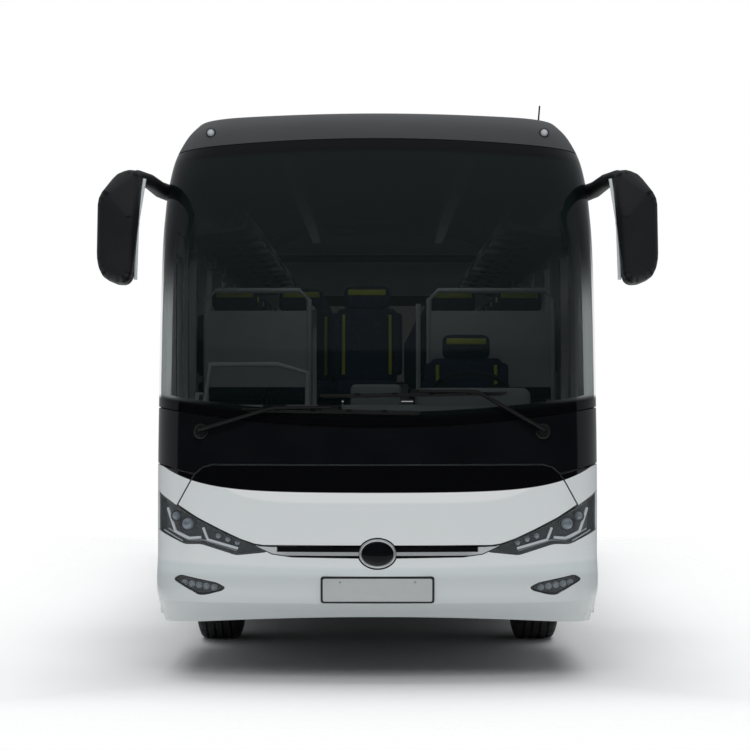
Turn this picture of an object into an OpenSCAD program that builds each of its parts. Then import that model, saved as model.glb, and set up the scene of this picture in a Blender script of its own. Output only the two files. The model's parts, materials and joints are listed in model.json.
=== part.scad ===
// Coach bus, 12 m, left-hand drive, standing on its six tyres.
// Millimetres, +Z up, nose towards -Y, ground at Z = 0, origin midway between nose and tail.

/* [Body] */
// Half width of the body panels, without the side glass
half_w = 1270; // [1200:5:1275]
// Distance from the origin to the foremost panel, and to the rearmost
half_l = 5990; // [5900:5:6100]
// Nose to front axle
front_overhang = 2640; // [2600:10:2700]
// Rear axle to tail
rear_overhang = 3240; // [3150:10:3350]
// Thickness of the side walls
wall_t = 60; // [40:5:80]
// Thickness of doors, flaps and skirts
flap_t = 40; // [25:5:50]
// Gap round every panel
panel_gap = 8; // [6:1:10]
// Lower edge of the skirts
skirt_z = 340; // [320:5:380]
// Top of the passenger deck
deck_z = 1240; // [1236:1:1260]

/* [Front] */
// Plan radius of the front face
front_r = 4200; // [3800:50:5000]
// Length of flat side kept by the wrap-round front panels
front_wrap = 90; // [60:5:120]
// Thickness of the front and rear skins
skin_t = 12; // [10:1:16]
// Depth of the pillars and bands behind the front skins
frame_t = 30; // [20:2:36]
// Bond line between the front skins and their frame
skin_bond = 6; // [5:1:10]
// Depth of the headlamp bodies
lamp_depth = 60; // [40:5:90]
// Half width of the number plate
plate_hw = 315; // [260:5:330]
// Height of the number plate
plate_h = 145; // [110:5:150]
// Half width of the oval badge
badge_hw = 104; // [80:2:110]
// Half height of the oval badge
badge_hh = 82; // [60:2:84]

/* [Rear] */
// Plan radius of the rear face
rear_r = 7000; // [6000:100:9000]
// Half width of the engine lid
engine_lid_hw = 820; // [700:10:860]
// Lower edge of the engine lid
engine_lid_z0 = 690; // [680:5:720]
// Upper edge of the engine lid
engine_lid_z1 = 1560; // [1450:10:1600]

/* [Side windows] */
// Lower edge of the side glass
pane_z0 = 1290; // [1280:5:1340]
// Upper edge of the side glass
pane_z1 = 2620; // [2500:10:2640]
// How far the bonded side glass stands proud
pane_proud = 5; // [3:1:8]
// Hidden bond all round each pane
pane_bond = 50; // [30:5:60]
// Number of panes behind the driver
pane_count = 6; // [4:1:7]

/* [Entry door] */
// Nose to the front edge of the entry door
door_back = 970; // [960:5:1000]
// Width of the entry door
door_w = 910; // [800:10:920]
// Lower edge of the entry door
door_z0 = 390; // [380:5:420]
// Upper edge of the entry door
door_z1 = 2600; // [2400:10:2640]

/* [Luggage flaps] */
// Upper edge of the flaps
flap_z1 = 1212; // [1190:1:1215]

/* [Wheels] */
// Tyre radius
tyre_r = 520; // [490:5:530]
// Tyre width
tyre_w = 298; // [270:2:305]
// Rim radius at the bead
rim_r = 286; // [270:2:300]
// Distance between the front wheels' middle planes
front_track = 2080; // [2040:10:2090]
// Distance between the middles of a twin pair
twin_pitch = 335; // [325:1:345]
// Distance between the rear twins' middles
rear_track = 1860; // [1820:10:1880]
// Kingpin's distance inboard of the front wheel's middle plane
kingpin_in = 150; // [140:5:170]
// Wheel arch radius
arch_r = 590; // [580:5:610]

/* [Hidden] */

white = [0.93, 0.94, 0.95];
black = [0.04, 0.04, 0.045];
cap_grey = [0.22, 0.23, 0.24];
steel = [0.55, 0.56, 0.58];
seat_blue = [0.10, 0.13, 0.24];
clear = [0.35, 0.40, 0.42];

nose_y = -half_l;
front_axle_y = nose_y + front_overhang;
rear_axle_y = half_l - rear_overhang;
door_y0 = nose_y + door_back;

// Sections of the front shell, bottom to top. Columns: height at the side, half width, nose
// distance ahead of the origin, corner radius, rise of the middle over the side.
Z = 0; HW = 1; NOSE = 2; CR = 3; CROWN = 4;
FRONT = [
  [ 312, half_w - 34, half_l - 95, 400, 54],
  [ 432, half_w - 4, half_l - 22, 390, 9],
  [ 737, half_w, half_l, 380, 0],
  [1225, half_w, half_l - 8, 380, -162],
  [1548, half_w, half_l - 55, 380, -113],
  [2200, half_w, half_l - 210, 375, -40],
  [2645, half_w - 9, half_l - 350, 370, 0],
  [2880, half_w - 32, half_l - 442, 365, 30],
  [3057, half_w - 74, half_l - 550, 360, 54],
  [3168, half_w - 130, half_l - 650, 340, 42],
  [3225, half_w - 171, half_l - 745, 320, 34],
  [3272, half_w - 215, half_l - 890, 300, 24],
  [3246, half_w - 256, half_l - 1060, 280, 66],
  [3246, half_w - 286, half_l - 1290, 260, 86]];
// Rows of the table that bound the panels
BUMPER_FOOT = 0; LAMP_LINE = 2; BLACK_EDGE = 3; SCREEN_FOOT = 4; CANT = 7; SCREEN_HEAD = 8; CROWN_EDGE = 13;

// Sections of the rear shell, same columns, nose read as tail
REAR = [
  [ 340, half_w - 25, half_l - 45, 240, 0],
  [ 640, half_w, half_l, 240, 0],
  [1300, half_w, half_l - 10, 240, 0],
  [1900, half_w, half_l - 35, 240, 0],
  [2300, half_w - 2, half_l - 65, 240, 0],
  [2645, half_w - 9, half_l - 100, 240, 0],
  [2880, half_w - 32, half_l - 140, 240, 0],
  [3057, half_w - 74, half_l - 200, 240, 10],
  [3168, half_w - 130, half_l - 280, 230, 20],
  [3225, half_w - 171, half_l - 360, 220, 30],
  [3272, half_w - 215, half_l - 460, 210, 24],
  [3246, half_w - 256, half_l - 570, 200, 66],
  [3246, half_w - 286, half_l - 690, 200, 86]];
REAR_FOOT = 0; REAR_BREAK = 1; REAR_CANT = 6; REAR_HEAD = 7; REAR_CROWN = 12;

cap_end = half_l - 1690;
tail_cap_end = half_l - 990;

// Distance along the middle line up to row i
function along(T, i) = i == 0 ? 0 : along(T, i - 1)
  + norm([T[i][Z] + T[i][CROWN] - T[i - 1][Z] - T[i - 1][CROWN], T[i][NOSE] - T[i - 1][NOSE]]);
FRONT_S = [for (i = [0:len(FRONT) - 1]) along(FRONT, i)];
REAR_S = [for (i = [0:len(REAR) - 1]) along(REAR, i)];

// Slope of column c at row i, weighted by the neighbouring spans
function slope(T, S, i, c) = let (n = len(T) - 1)
  i == 0 ? (T[1][c] - T[0][c]) / (S[1] - S[0])
  : i == n ? (T[n][c] - T[n - 1][c]) / (S[n] - S[n - 1])
  : let (a = S[i] - S[i - 1], b = S[i + 1] - S[i])
    ((T[i][c] - T[i - 1][c]) / a * b + (T[i + 1][c] - T[i][c]) / b * a) / (a + b);

// Column c at distance s, a smooth curve through the rows
function ring(T, S, s, c) = let (
    i = max([for (k = [0:len(S) - 2]) if (k == 0 || S[k] <= s) k]),
    h = S[i + 1] - S[i], f = (s - S[i]) / h, f2 = f * f, f3 = f2 * f)
  (2 * f3 - 3 * f2 + 1) * T[i][c] + (f3 - 2 * f2 + f) * h * slope(T, S, i, c)
  + (3 * f2 - 2 * f3) * T[i + 1][c] + (f3 - f2) * h * slope(T, S, i + 1, c);

// Plan outline: a wide front arc, a corner arc tangent to it and a straight side.
// u runs 0 to 1 on the front arc, to 2 on the corner and to 3 along the side.
function corner_y(hw, nose, r, R) = R - nose - sqrt(pow(R - r, 2) - pow(hw - r, 2));
function plan(u, hw, nose, r, R, end) = let (
    a = abs(u), a0 = asin((hw - r) / (R - r)), yc = corner_y(hw, nose, r, R),
    ang = a0 + (a - 1) * (90 - a0), y_end = is_undef(end) ? yc + front_wrap : -end)
  [sign(u) * (a <= 1 ? R * sin(a * a0) : a <= 2 ? hw - r + r * sin(ang) : hw),
   a <= 1 ? R - nose - R * cos(a * a0) : a <= 2 ? yc - r * cos(ang) : yc + (a - 2) * (y_end - yc)];
function shell_pt(T, S, R, u, s, end) = let (
    hw = ring(T, S, s, HW), p = plan(u, hw, ring(T, S, s, NOSE), ring(T, S, s, CR), R, end))
  [p[0], p[1], ring(T, S, s, Z) + ring(T, S, s, CROWN) * (1 - pow(p[0] / hw, 2))];
function unit(v) = v / norm(v);
function shell_normal(T, S, R, u, s, end) = let (d = 0.01, e = 2,
    s0 = max(s - e, 0), s1 = min(s + e, S[len(S) - 1]), u0 = max(u - d, -3), u1 = min(u + d, 3))
  unit(cross(shell_pt(T, S, R, u1, s, end) - shell_pt(T, S, R, u0, s, end),
             shell_pt(T, S, R, u, s1, end) - shell_pt(T, S, R, u, s0, end)));

// Stations across the shell: one flat, a corner, the front face, a corner, one flat
corner_steps = 6;
face_steps = 10;
ACROSS = concat([-3], [for (i = [0:corner_steps - 1]) -2 + i / corner_steps],
  [for (i = [0:face_steps]) -1 + 2 * i / face_steps],
  [for (i = [1:corner_steps]) 1 + i / corner_steps], [3]);

// Shell panel between two heights, t thick inwards, its skin lifted by lift
module shell_panel(T, S, R, s0, s1, rows, t, end, lift = 0, across = ACROSS) {
  n = len(across);
  grid = [for (j = [0:rows], u = across) [u, s0 + (s1 - s0) * j / rows]];
  outer = [for (g = grid) shell_pt(T, S, R, g[0], g[1], end)
    + lift * shell_normal(T, S, R, g[0], g[1], end)];
  inner = [for (k = [0:len(grid) - 1]) outer[k]
    - t * shell_normal(T, S, R, grid[k][0], grid[k][1], end)];
  m = len(grid);
  quads = concat(
    [for (j = [0:rows - 1], i = [0:n - 2]) [j * n + i, j * n + n + i, j * n + n + i + 1, j * n + i + 1]],
    [for (j = [0:rows - 1], i = [0:n - 2])
      [m + j * n + i, m + j * n + i + 1, m + j * n + n + i + 1, m + j * n + n + i]],
    [for (i = [0:n - 2]) [i, i + 1, m + i + 1, m + i]],
    [for (i = [0:n - 2]) [rows * n + i + 1, rows * n + i, m + rows * n + i, m + rows * n + i + 1]],
    [for (j = [0:rows - 1]) [j * n + n, j * n, m + j * n, m + j * n + n]],
    [for (j = [1:rows]) [j * n - 1, j * n + n - 1, m + j * n + n - 1, m + j * n - 1]]);
  polyhedron(concat(outer, inner),
    [for (q = quads, half = [0, 1]) half == 0 ? [q[0], q[1], q[2]] : [q[0], q[2], q[3]]]);
}
module front_panel(from, to, rows, t, end, lift = 0)
  shell_panel(FRONT, FRONT_S, front_r, FRONT_S[from] + gap_after(from), FRONT_S[to] - gap_before(to),
    rows, t, end, lift);
module rear_panel(from, to, rows, t, end)
  mirror([0, 1, 0]) shell_panel(REAR, REAR_S, rear_r, REAR_S[from] + gap_after(from),
    REAR_S[to] - gap_before(to), rows, t, end);
// Half of the panel gap at each joint, none at the free lower edge
function gap_after(row) = row == 0 ? 0 : panel_gap / 2;
function gap_before(row) = panel_gap / 2;

// Side of the body: outer points [x, z] between two rows of the front table
function side_curve(from, to, steps) = [for (i = [0:steps]) let (
    s = FRONT_S[from] + (FRONT_S[to] - FRONT_S[from]) * i / steps)
  [ring(FRONT, FRONT_S, s, HW), ring(FRONT, FRONT_S, s, Z)]];
function reversed(list) = [for (i = [len(list) - 1:-1:0]) list[i]];
function moved_x(list, d) = [for (p = list) [p[0] + d, p[1]]];
// Where the wrapped front and rear panels end along the side
function wrap_end(T, i, R) = corner_y(T[i][HW], T[i][NOSE], T[i][CR], R) + front_wrap;
// The same as a curve [y, z] from the foot up to row i
function wrap_curve(T, S, R, i, steps) = [for (k = [0:steps]) let (s = S[i] * k / steps)
  [corner_y(ring(T, S, s, HW), ring(T, S, s, NOSE), ring(T, S, s, CR), R) + front_wrap, ring(T, S, s, Z)]];

// Prisms: a plan of [x, z] along Y, and a side view of [y, z] along X
module long_prism(y0, y1) translate([0, y1, 0]) rotate([90, 0, 0]) linear_extrude(y1 - y0) children();
module side_prism(x0, x1) rotate([90, 0, 90]) translate([0, 0, x0]) linear_extrude(x1 - x0) children();
module both_sides() { children(); mirror([1, 0, 0]) children(); }

// Rectangle with round corners
function round_rect(x0, y0, x1, y1, r, steps = 4) = [
  for (c = [[x1 - r, y1 - r, 0], [x0 + r, y1 - r, 90], [x0 + r, y0 + r, 180], [x1 - r, y0 + r, 270]],
    i = [0:steps]) let (a = c[2] + 90 * i / steps) [c[0] + r * cos(a), c[1] + r * sin(a)]];

// Round tube along a path
module tube(path, r, sides = 8) {
  n = len(path);
  function heading(i) = unit(path[min(i + 1, n - 1)] - path[max(i - 1, 0)]);
  function across(h) = unit(cross(h, abs(h[2]) > 0.9 ? [0, 1, 0] : [0, 0, 1]));
  points = [for (i = [0:n - 1]) let (h = heading(i), a = across(h), b = cross(a, h))
    for (k = [0:sides - 1]) path[i] + r * (cos(360 * k / sides) * a + sin(360 * k / sides) * b)];
  polyhedron(points, concat([[for (k = [sides - 1:-1:0]) k]],
    [for (i = [0:n - 2], k = [0:sides - 1], half = [0, 1]) let (
        a = i * sides + k, b = i * sides + (k + 1) % sides)
      half == 0 ? [a, b + sides, a + sides] : [a, b, b + sides]],
    [[for (k = [0:sides - 1]) (n - 1) * sides + k]]));
}

// Thickness of the deck and height of the driver's platform
deck_t = 60;
platform_z = 900;
// Lower frame: front and rear rails, bulkheads, the luggage hold between them
rail_x = 430;
rail_w = 80;
rail_z0 = 760;
rail_z1 = 960;
front_rail_z0 = 660;
front_rail_z1 = platform_z - deck_t;
hold_z0 = 400;
plate_t = 30;
beam_h = 60;
post_w = 70;
hold_x = half_w - flap_t - 25;
flap_y0 = front_axle_y + arch_r + 40;
flap_y1 = rear_axle_y - arch_r - 40;
flap_w = (flap_y1 - flap_y0 - 2 * panel_gap) / 3;
pillar_x = half_w - skin_t - skin_bond - frame_t;
module block(x0, y0, z0, x1, y1, z1) translate([x0, y0, z0]) cube([x1 - x0, y1 - y0, z1 - z0]);
module rail(y0, y1, z0, z1) block(rail_x - rail_w / 2, y0, z0, rail_x + rail_w / 2, y1, z1);
module underframe() color(black) {
  both_sides() {
    rail(nose_y + 560, flap_y0 - panel_gap - 1, front_rail_z0, front_rail_z1);
    rail(flap_y1 + panel_gap + 1, half_l - 120, rail_z0, rail_z1);
  }
  for (y = [front_axle_y - 500, front_axle_y + 460])
    block(-rail_x, y, front_rail_z1 - beam_h, rail_x, y + beam_h, front_rail_z1);
  for (y = [rear_axle_y - 500, rear_axle_y + 480, half_l - 200])
    block(-hold_x + 420, y, rail_z1 - beam_h, hold_x - 420, y + beam_h, rail_z1);
  for (y = [flap_y0 - panel_gap - plate_t, flap_y1 + panel_gap])
    block(-half_w + flap_t, y, hold_z0, half_w - flap_t, y + plate_t, deck_z - deck_t);
  block(-hold_x, flap_y0 - panel_gap - 1, hold_z0, hold_x, flap_y1 + panel_gap + 1, hold_z0 + plate_t);
  block(-pillar_x, nose_y + 520, front_rail_z1 - beam_h, pillar_x, nose_y + 580, front_rail_z1);
  for (i = [1, 2]) let (y = flap_y0 + i * (flap_w + panel_gap) - panel_gap / 2) {
    block(-hold_x, y - post_w / 2, deck_z - deck_t - beam_h, hold_x, y + post_w / 2, deck_z - deck_t);
    both_sides() block(hold_x - post_w, y - post_w / 2, hold_z0, hold_x, y + post_w / 2, deck_z - deck_t);
  }
  for (y = [front_axle_y - 450, front_axle_y + 420])
    both_sides() rail(y, y + beam_h, front_rail_z0, deck_z - deck_t);
  for (y = [rear_axle_y - 460, rear_axle_y + 440, half_l - 380])
    both_sides() rail(y, y + beam_h, rail_z0, deck_z - deck_t);
}

// Deck, driver's platform, riser and the steps at the entry door
deck_y0 = door_y0 + door_w + 30;
deck_y1 = half_l - 290;
cabin_x = half_w - wall_t;
platform_y0 = nose_y + 510;
step_x = -330;
STEP_Z = [560, 760, 960];
module floor() color(steel) {
  block(-cabin_x, deck_y0, deck_z - deck_t, cabin_x, deck_y1, deck_z);
  block(step_x, deck_y0 - plate_t, platform_z - deck_t, cabin_x, deck_y0 + 1, deck_z);
  block(step_x, platform_y0, platform_z - deck_t, cabin_x - 100, deck_y0, platform_z);
  for (i = [0:2]) let (x = -cabin_x + 20 + i * 280)
    block(x, door_y0 + 20, STEP_Z[i] - plate_t, i == 2 ? step_x + 1 : x + 300,
      door_y0 + door_w - 20, STEP_Z[i]);
  for (i = [1, 2]) let (x = -cabin_x + 20 + i * 280)
    block(x, door_y0 + 20, STEP_Z[i - 1] - plate_t, x + 20, door_y0 + door_w - 20, STEP_Z[i]);
  block(step_x - 20, door_y0 + 20, STEP_Z[2] - plate_t, step_x + 20, door_y0 + door_w - 20, deck_z - 20);
  well_x = -rail_x - rail_w;
  block(-cabin_x + 20, door_y0 + door_w - 21, STEP_Z[0] - plate_t, well_x, deck_y0 + 1, deck_z);
  block(well_x - 1, door_y0 + door_w - 21, front_rail_z1 + 10, step_x + 20, deck_y0 + 1, deck_z);
}

// Side view of the wall between the wrapped ends of the front and rear shells
wall_rows = [3, 4, 5, 6, 7];
function wall_front(gap) = [for (i = wall_rows) [wrap_end(FRONT, i, front_r) + gap, FRONT[i][Z]]];
function wall_back(gap) = [for (i = [6:-1:2])
  [-wrap_end(REAR, i, rear_r) - gap, max(REAR[i][Z], FRONT[3][Z])]];
WALL_CURVE = side_curve(BLACK_EDGE, CANT, 10);
wall_z0 = FRONT[BLACK_EDGE][Z];
wall_y1 = -wrap_end(REAR, 4, rear_r) - 80;
driver_pane = [nose_y + 1005, nose_y + 1660];
door_pane_in = 70;
// Panes of one side: [front edge, rear edge]
function panes(first) = let (w = (wall_y1 - first + 14) / pane_count)
  [for (i = [0:pane_count - 1]) [first + i * w, first + (i + 1) * w - 14]];
LEFT_PANES = concat([driver_pane], panes(driver_pane[1] + 80));
RIGHT_PANES = panes(door_y0 + door_w + 80);
module pane_outline(p, in) polygon(round_rect(p[0] + in, pane_z0 + in, p[1] - in, pane_z1 - in, 70 - in / 2));
module door_outline(out) polygon(
  round_rect(door_y0 - out, door_z0 - out, door_y0 + door_w + out, door_z1 + out, 60 + out));
module body_curve(t, curve) polygon(concat(curve, moved_x(reversed(curve), -t)));
module wall(list) intersection() {
  long_prism(-half_l, half_l) body_curve(wall_t, WALL_CURVE);
  side_prism(half_w - 300, half_w + 50) difference() {
    polygon(concat(wall_front(panel_gap), wall_back(panel_gap)));
    for (p = list) pane_outline(p, pane_bond);
  }
}
module wall_left() color(white) wall(LEFT_PANES);
module wall_right() color(white) difference() {
  mirror([1, 0, 0]) wall(RIGHT_PANES);
  side_prism(-half_w - 60, -half_w + 320) door_outline(panel_gap);
}
module pane() intersection() {
  long_prism(-half_l, half_l) body_curve(pane_proud, moved_x(WALL_CURVE, pane_proud));
  side_prism(half_w - 300, half_w + 50) children();
}
module window_panes() color(black) {
  for (p = LEFT_PANES) pane() pane_outline(p, 0);
  intersection() {
    rear_panel(REAR_BREAK + 1, REAR_HEAD, 8, skin_t);
    long_prism(rear_cut, front_cut) rear_window_outline(3);
  }
  mirror([1, 0, 0]) {
    for (p = RIGHT_PANES) pane() pane_outline(p, 0);
    pane() door_pane(0);
  }
}
module door_pane(in) polygon(round_rect(door_y0 + door_pane_in + in, pane_z0 + in,
  door_y0 + door_w - door_pane_in - in, door_z1 - door_pane_in - in, 60));

// Entry door, as deep as the skirt, with its window cut
DOOR_CURVE = concat([[half_w, door_z0 - 60]], WALL_CURVE);
module entry_door() color(white) mirror([1, 0, 0]) intersection() {
  long_prism(-half_l, half_l) body_curve(flap_t, DOOR_CURVE);
  side_prism(half_w - 300, half_w + 50) difference() {
    door_outline(0);
    door_pane(pane_bond);
  }
}

// Fixed lower side panels ahead of and behind the luggage flaps
module skirt() side_prism(half_w - flap_t, half_w) difference() {
  intersection() {
    polygon(concat([for (p = wrap_curve(FRONT, FRONT_S, front_r, BLACK_EDGE, 9)) [p[0] + panel_gap, p[1]]],
      reversed([for (p = wrap_curve(REAR, REAR_S, rear_r, REAR_BREAK + 1, 6)) [-p[0] - panel_gap, p[1]]])));
    translate([nose_y, skirt_z]) square([2 * half_l, flap_z1 - skirt_z]);
  }
  for (y = [front_axle_y, rear_axle_y]) translate([y, tyre_r]) circle(r = arch_r, $fn = 48);
  translate([flap_y0 - panel_gap, 0]) square([flap_y1 - flap_y0 + 2 * panel_gap, flap_z1 + 100]);
}
module skirt_left() color(white) skirt();
module skirt_right() color(white) difference() {
  mirror([1, 0, 0]) skirt();
  side_prism(-half_w - 60, -half_w + 320) door_outline(panel_gap);
}

// Luggage flaps, hinged along their top outer edge
module luggage_flap(side, i) color(white) let (y = flap_y0 + (i - 1) * (flap_w + panel_gap))
  scale([side, 1, 1]) side_prism(half_w - flap_t, half_w)
    polygon(round_rect(y, skirt_z, y + flap_w, flap_z1, 20));

// Roof: a crowned panel with side fairings, its ends cut to the front and rear caps
crown_x = FRONT[CROWN_EDGE][HW];
function crown_z(x) = FRONT[CROWN_EDGE][Z] + FRONT[CROWN_EDGE][CROWN] * (1 - pow(x / crown_x, 2));
roof_t = 55;
ROOF_CURVE = side_curve(CANT, CROWN_EDGE, 16);
CROWN_CURVE = [for (i = [1:7]) let (x = crown_x * (1 - i / 8)) [x, crown_z(x)]];
// Roof lining, from the wall to the middle: in from the half width, below the crown's edge
LINING = [[half_w - 32 - wall_t, 2880], [half_w - 150, 3030], [half_w - 280, 3140], [half_w - 440, 3196]];
function mirrored(list) = [for (p = reversed(list)) [-p[0], p[1]]];
module roof_section() {
  half = concat(ROOF_CURVE, CROWN_CURVE);
  under = concat(LINING, [for (x = [600, 300]) [x, crown_z(x) - roof_t]]);
  polygon(concat(half, [[0, crown_z(0)]], mirrored(half),
    [for (p = LINING) [-p[0], p[1]]], [for (x = [-600, -300]) [x, crown_z(x) - roof_t]],
    [[0, crown_z(0) - roof_t]], reversed(under)));
}
module roof_main() {
  intersection() {
    long_prism(-half_l, half_l) roof_section();
    side_prism(-half_w - 50, half_w + 50) polygon([
      [wrap_end(FRONT, CANT, front_r) + panel_gap, FRONT[CANT][Z] + panel_gap / 2],
      [wrap_end(FRONT, SCREEN_HEAD, front_r) + panel_gap, FRONT[SCREEN_HEAD][Z] - panel_gap],
      [-cap_end + panel_gap, FRONT[SCREEN_HEAD][Z] - panel_gap], [-cap_end + panel_gap, 3500],
      [tail_cap_end - panel_gap, 3500], [tail_cap_end - panel_gap, REAR[REAR_HEAD][Z] - panel_gap],
      [-wrap_end(REAR, REAR_HEAD, rear_r) - panel_gap, REAR[REAR_HEAD][Z] - panel_gap],
      [-wrap_end(REAR, REAR_CANT, rear_r) - panel_gap, FRONT[CANT][Z] + panel_gap / 2]]);
  }
}

// Crowned plate that carries the roof forward into the front cap and back into the tail
CROWN_PLATE = concat([for (i = [0:12]) let (x = crown_x * (i / 6 - 1)) [x, crown_z(x)]],
  [for (i = [12:-1:0]) let (x = crown_x * (i / 6 - 1)) [x, crown_z(x) - skin_t]]);
crown_gap = 2 * panel_gap;
module crown_plate(row, R, end) intersection() {
  long_prism(-row[NOSE], -end + panel_gap + 1) polygon(CROWN_PLATE);
  translate([0, 0, row[Z] - 100]) linear_extrude(300) polygon(
    [for (u = ACROSS) plan(u, row[HW] - crown_gap, row[NOSE] - crown_gap, row[CR] - crown_gap, R,
      end - panel_gap - 2)]);
}
module roof() color(white) {
  roof_main();
  crown_plate(FRONT[CROWN_EDGE], front_r, cap_end);
  mirror([0, 1, 0]) crown_plate(REAR[REAR_CROWN], rear_r, tail_cap_end);
}

// Roof air-conditioner housing, seated on the crown
pod_y = [nose_y + 4290, half_l - 4090];
pod_hw = 800;
pod_h = 215;
module roof_pod() color(white) intersection() {
  long_prism(pod_y[0], pod_y[1]) difference() {
    polygon(concat([[-pod_hw, crown_z(pod_hw) - 10], [pod_hw, crown_z(pod_hw) - 10]],
      [for (a = [0:15:180]) [pod_hw * sign(cos(a)) * pow(abs(cos(a)), 0.35),
        crown_z(pod_hw) + 30 + (pod_h - 30 + crown_z(0) - crown_z(pod_hw)) * pow(sin(a), 0.5)]]));
    roof_section();
  }
  side_prism(-pod_hw - 10, pod_hw + 10) polygon([[pod_y[0], 3200], [pod_y[1], 3200], [pod_y[1], 3400],
    [pod_y[1] - 160, 3600], [pod_y[0] + 320, 3600], [pod_y[0] + 120, 3510], [pod_y[0], 3390]]);
}

// Front shell panels
module front_cap() color(cap_grey) difference() {
  front_panel(SCREEN_HEAD, CROWN_EDGE, 14, skin_t, cap_end);
  marker_lamp(1);
}
module windscreen() color(clear) front_panel(SCREEN_FOOT, SCREEN_HEAD, 10, skin_t);

// Pillars and cross bands that carry the front skins, against their inner faces
pillar_from = 1.6;
band_h = 90;
frame_back = 2.6;
module front_frame() color(white) difference() {
  union() {
    bands = [for (u = ACROSS) sign(u) * min(abs(u), frame_back)];
    side = [for (u = bands) if (u > pillar_from) u];
    for (across = [side, [for (u = reversed(side)) -u]])
      shell_panel(FRONT, FRONT_S, front_r, band_h, FRONT_S[SCREEN_HEAD] + band_h, 13, frame_t,
        undef, -skin_t - skin_bond, across);
    for (row = [SCREEN_FOOT, SCREEN_HEAD])
      shell_panel(FRONT, FRONT_S, front_r, FRONT_S[row] - band_h, FRONT_S[row] + band_h, 3, frame_t,
        undef, -skin_t - skin_bond, bands);
  }
  both_sides() long_prism(-front_cut, -lamp_end) offset(delta = 3) lamp_outline();
}

// Outlines seen from the front, right half, [x, z]
LID_TOP = [[0, 1220], [930, 1220], [985, 1206], [1030, 1168], [1060, 1120], [1130, 996]];
LAMP_TOP = [[1138, 987], [1013, 917], [881, 851], [773, 802], [693, 775], [619, 737]];
LAMP_FOOT = [[795, 718], [996, 779], [1090, 776], [1300, 866]];
LAMP_TIP = [[1300, 1105], [1235, 1047]];
FOG = [[1158, 573], [1117, 599], [904, 558], [859, 533], [877, 517], [967, 493], [1010, 491]];
STRIP = [[0, 706], [480, 712], [590, 727], [612, 737], [680, 768], [600, 764], [0, 764]];
strip_top = 767;
lamp_end = half_l - 450;
front_cut = half_l + 60;
module badge_outline(out) polygon([for (a = [0:10:350])
  [(badge_hw + out) * cos(a), badge_z + (badge_hh + out) * sin(a)]]);
module lid_outline() difference() {
  lid_full();
  badge_outline(panel_gap);
}
module lid_full() {
  half = concat(LID_TOP, [for (p = LAMP_TOP) if (p[0] < 1130 && p[0] > 680) [p[0], p[1] + panel_gap]],
    [[640, strip_top + panel_gap], [0, strip_top + panel_gap]]);
  polygon(concat(half, mirrored(half)));
}
module lamp_outline() polygon(concat(LAMP_TIP, LAMP_TOP, LAMP_FOOT));
module strip_outline() polygon(concat(STRIP, mirrored(STRIP)));
module front_openings() {
  long_prism(-front_cut, -half_l + 400) {
    offset(delta = panel_gap) lid_full();
    badge_outline(panel_gap);
  }
  both_sides() {
    long_prism(-front_cut, -lamp_end) offset(delta = 3) lamp_outline();
    long_prism(-front_cut, -half_l + 400) offset(delta = 3) polygon(FOG);
  }
  long_prism(-front_cut, -half_l + 400) offset(delta = panel_gap) strip_outline();
}
module cowl() color(black) difference() {
  front_panel(BLACK_EDGE, SCREEN_FOOT, 4, skin_t);
  long_prism(-front_cut, -half_l + 400) offset(delta = panel_gap) lid_full();
}
module front_bumper() color(white) difference() {
  front_panel(BUMPER_FOOT, BLACK_EDGE, 8, skin_t);
  front_openings();
  number_plate_block(4);
}
module service_lid() color(white) intersection() {
  front_panel(LAMP_LINE - 1, SCREEN_FOOT, 10, skin_t);
  long_prism(-front_cut, -half_l + 380) lid_outline();
}
module headlamps() color(clear) intersection() {
  front_panel(LAMP_LINE - 1, SCREEN_FOOT, 10, lamp_depth);
  both_sides() long_prism(-front_cut, -lamp_end) lamp_outline();
}
module fog_lamps() color(clear) intersection() {
  front_panel(BUMPER_FOOT, LAMP_LINE, 5, lamp_depth);
  both_sides() long_prism(-front_cut, -half_l + 400) polygon(FOG);
}
badge_z = 728;
module front_trim() color(steel) {
  intersection() {
    front_panel(LAMP_LINE - 1, BLACK_EDGE, 6, skin_t + 4, undef, 4);
    long_prism(-front_cut, -half_l + 400) strip_outline();
  }
  long_prism(-half_l - 10, -half_l + 20) badge_outline(0);
}
plate_z = 525;
module number_plate_block(out) long_prism(-half_l - 10, -half_l + 30)
  polygon(round_rect(-plate_hw - out, plate_z - plate_h / 2 - out,
    plate_hw + out, plate_z + plate_h / 2 + out, 15));
module number_plate() color(steel) number_plate_block(0);

// Front surface: depth at a place seen from the front
function height_at(x, s) = ring(FRONT, FRONT_S, s, Z)
  + ring(FRONT, FRONT_S, s, CROWN) * (1 - pow(x / ring(FRONT, FRONT_S, s, HW), 2));
function find_s(x, z, lo, hi, n = 24) = let (m = (lo + hi) / 2)
  n == 0 ? m : height_at(x, m) < z ? find_s(x, z, m, hi, n - 1) : find_s(x, z, lo, m, n - 1);
function front_y(x, z) = let (s = find_s(x, z, 0, FRONT_S[CROWN_EDGE]),
    hw = ring(FRONT, FRONT_S, s, HW), r = ring(FRONT, FRONT_S, s, CR), nose = ring(FRONT, FRONT_S, s, NOSE),
    reach = front_r * (hw - r) / (front_r - r))
  abs(x) <= reach ? front_r - nose - sqrt(front_r * front_r - x * x)
  : corner_y(hw, nose, r, front_r) - sqrt(r * r - pow(abs(x) - hw + r, 2));
function on_front(x, z, lift) = [x, front_y(x, z) - lift, z];

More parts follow.
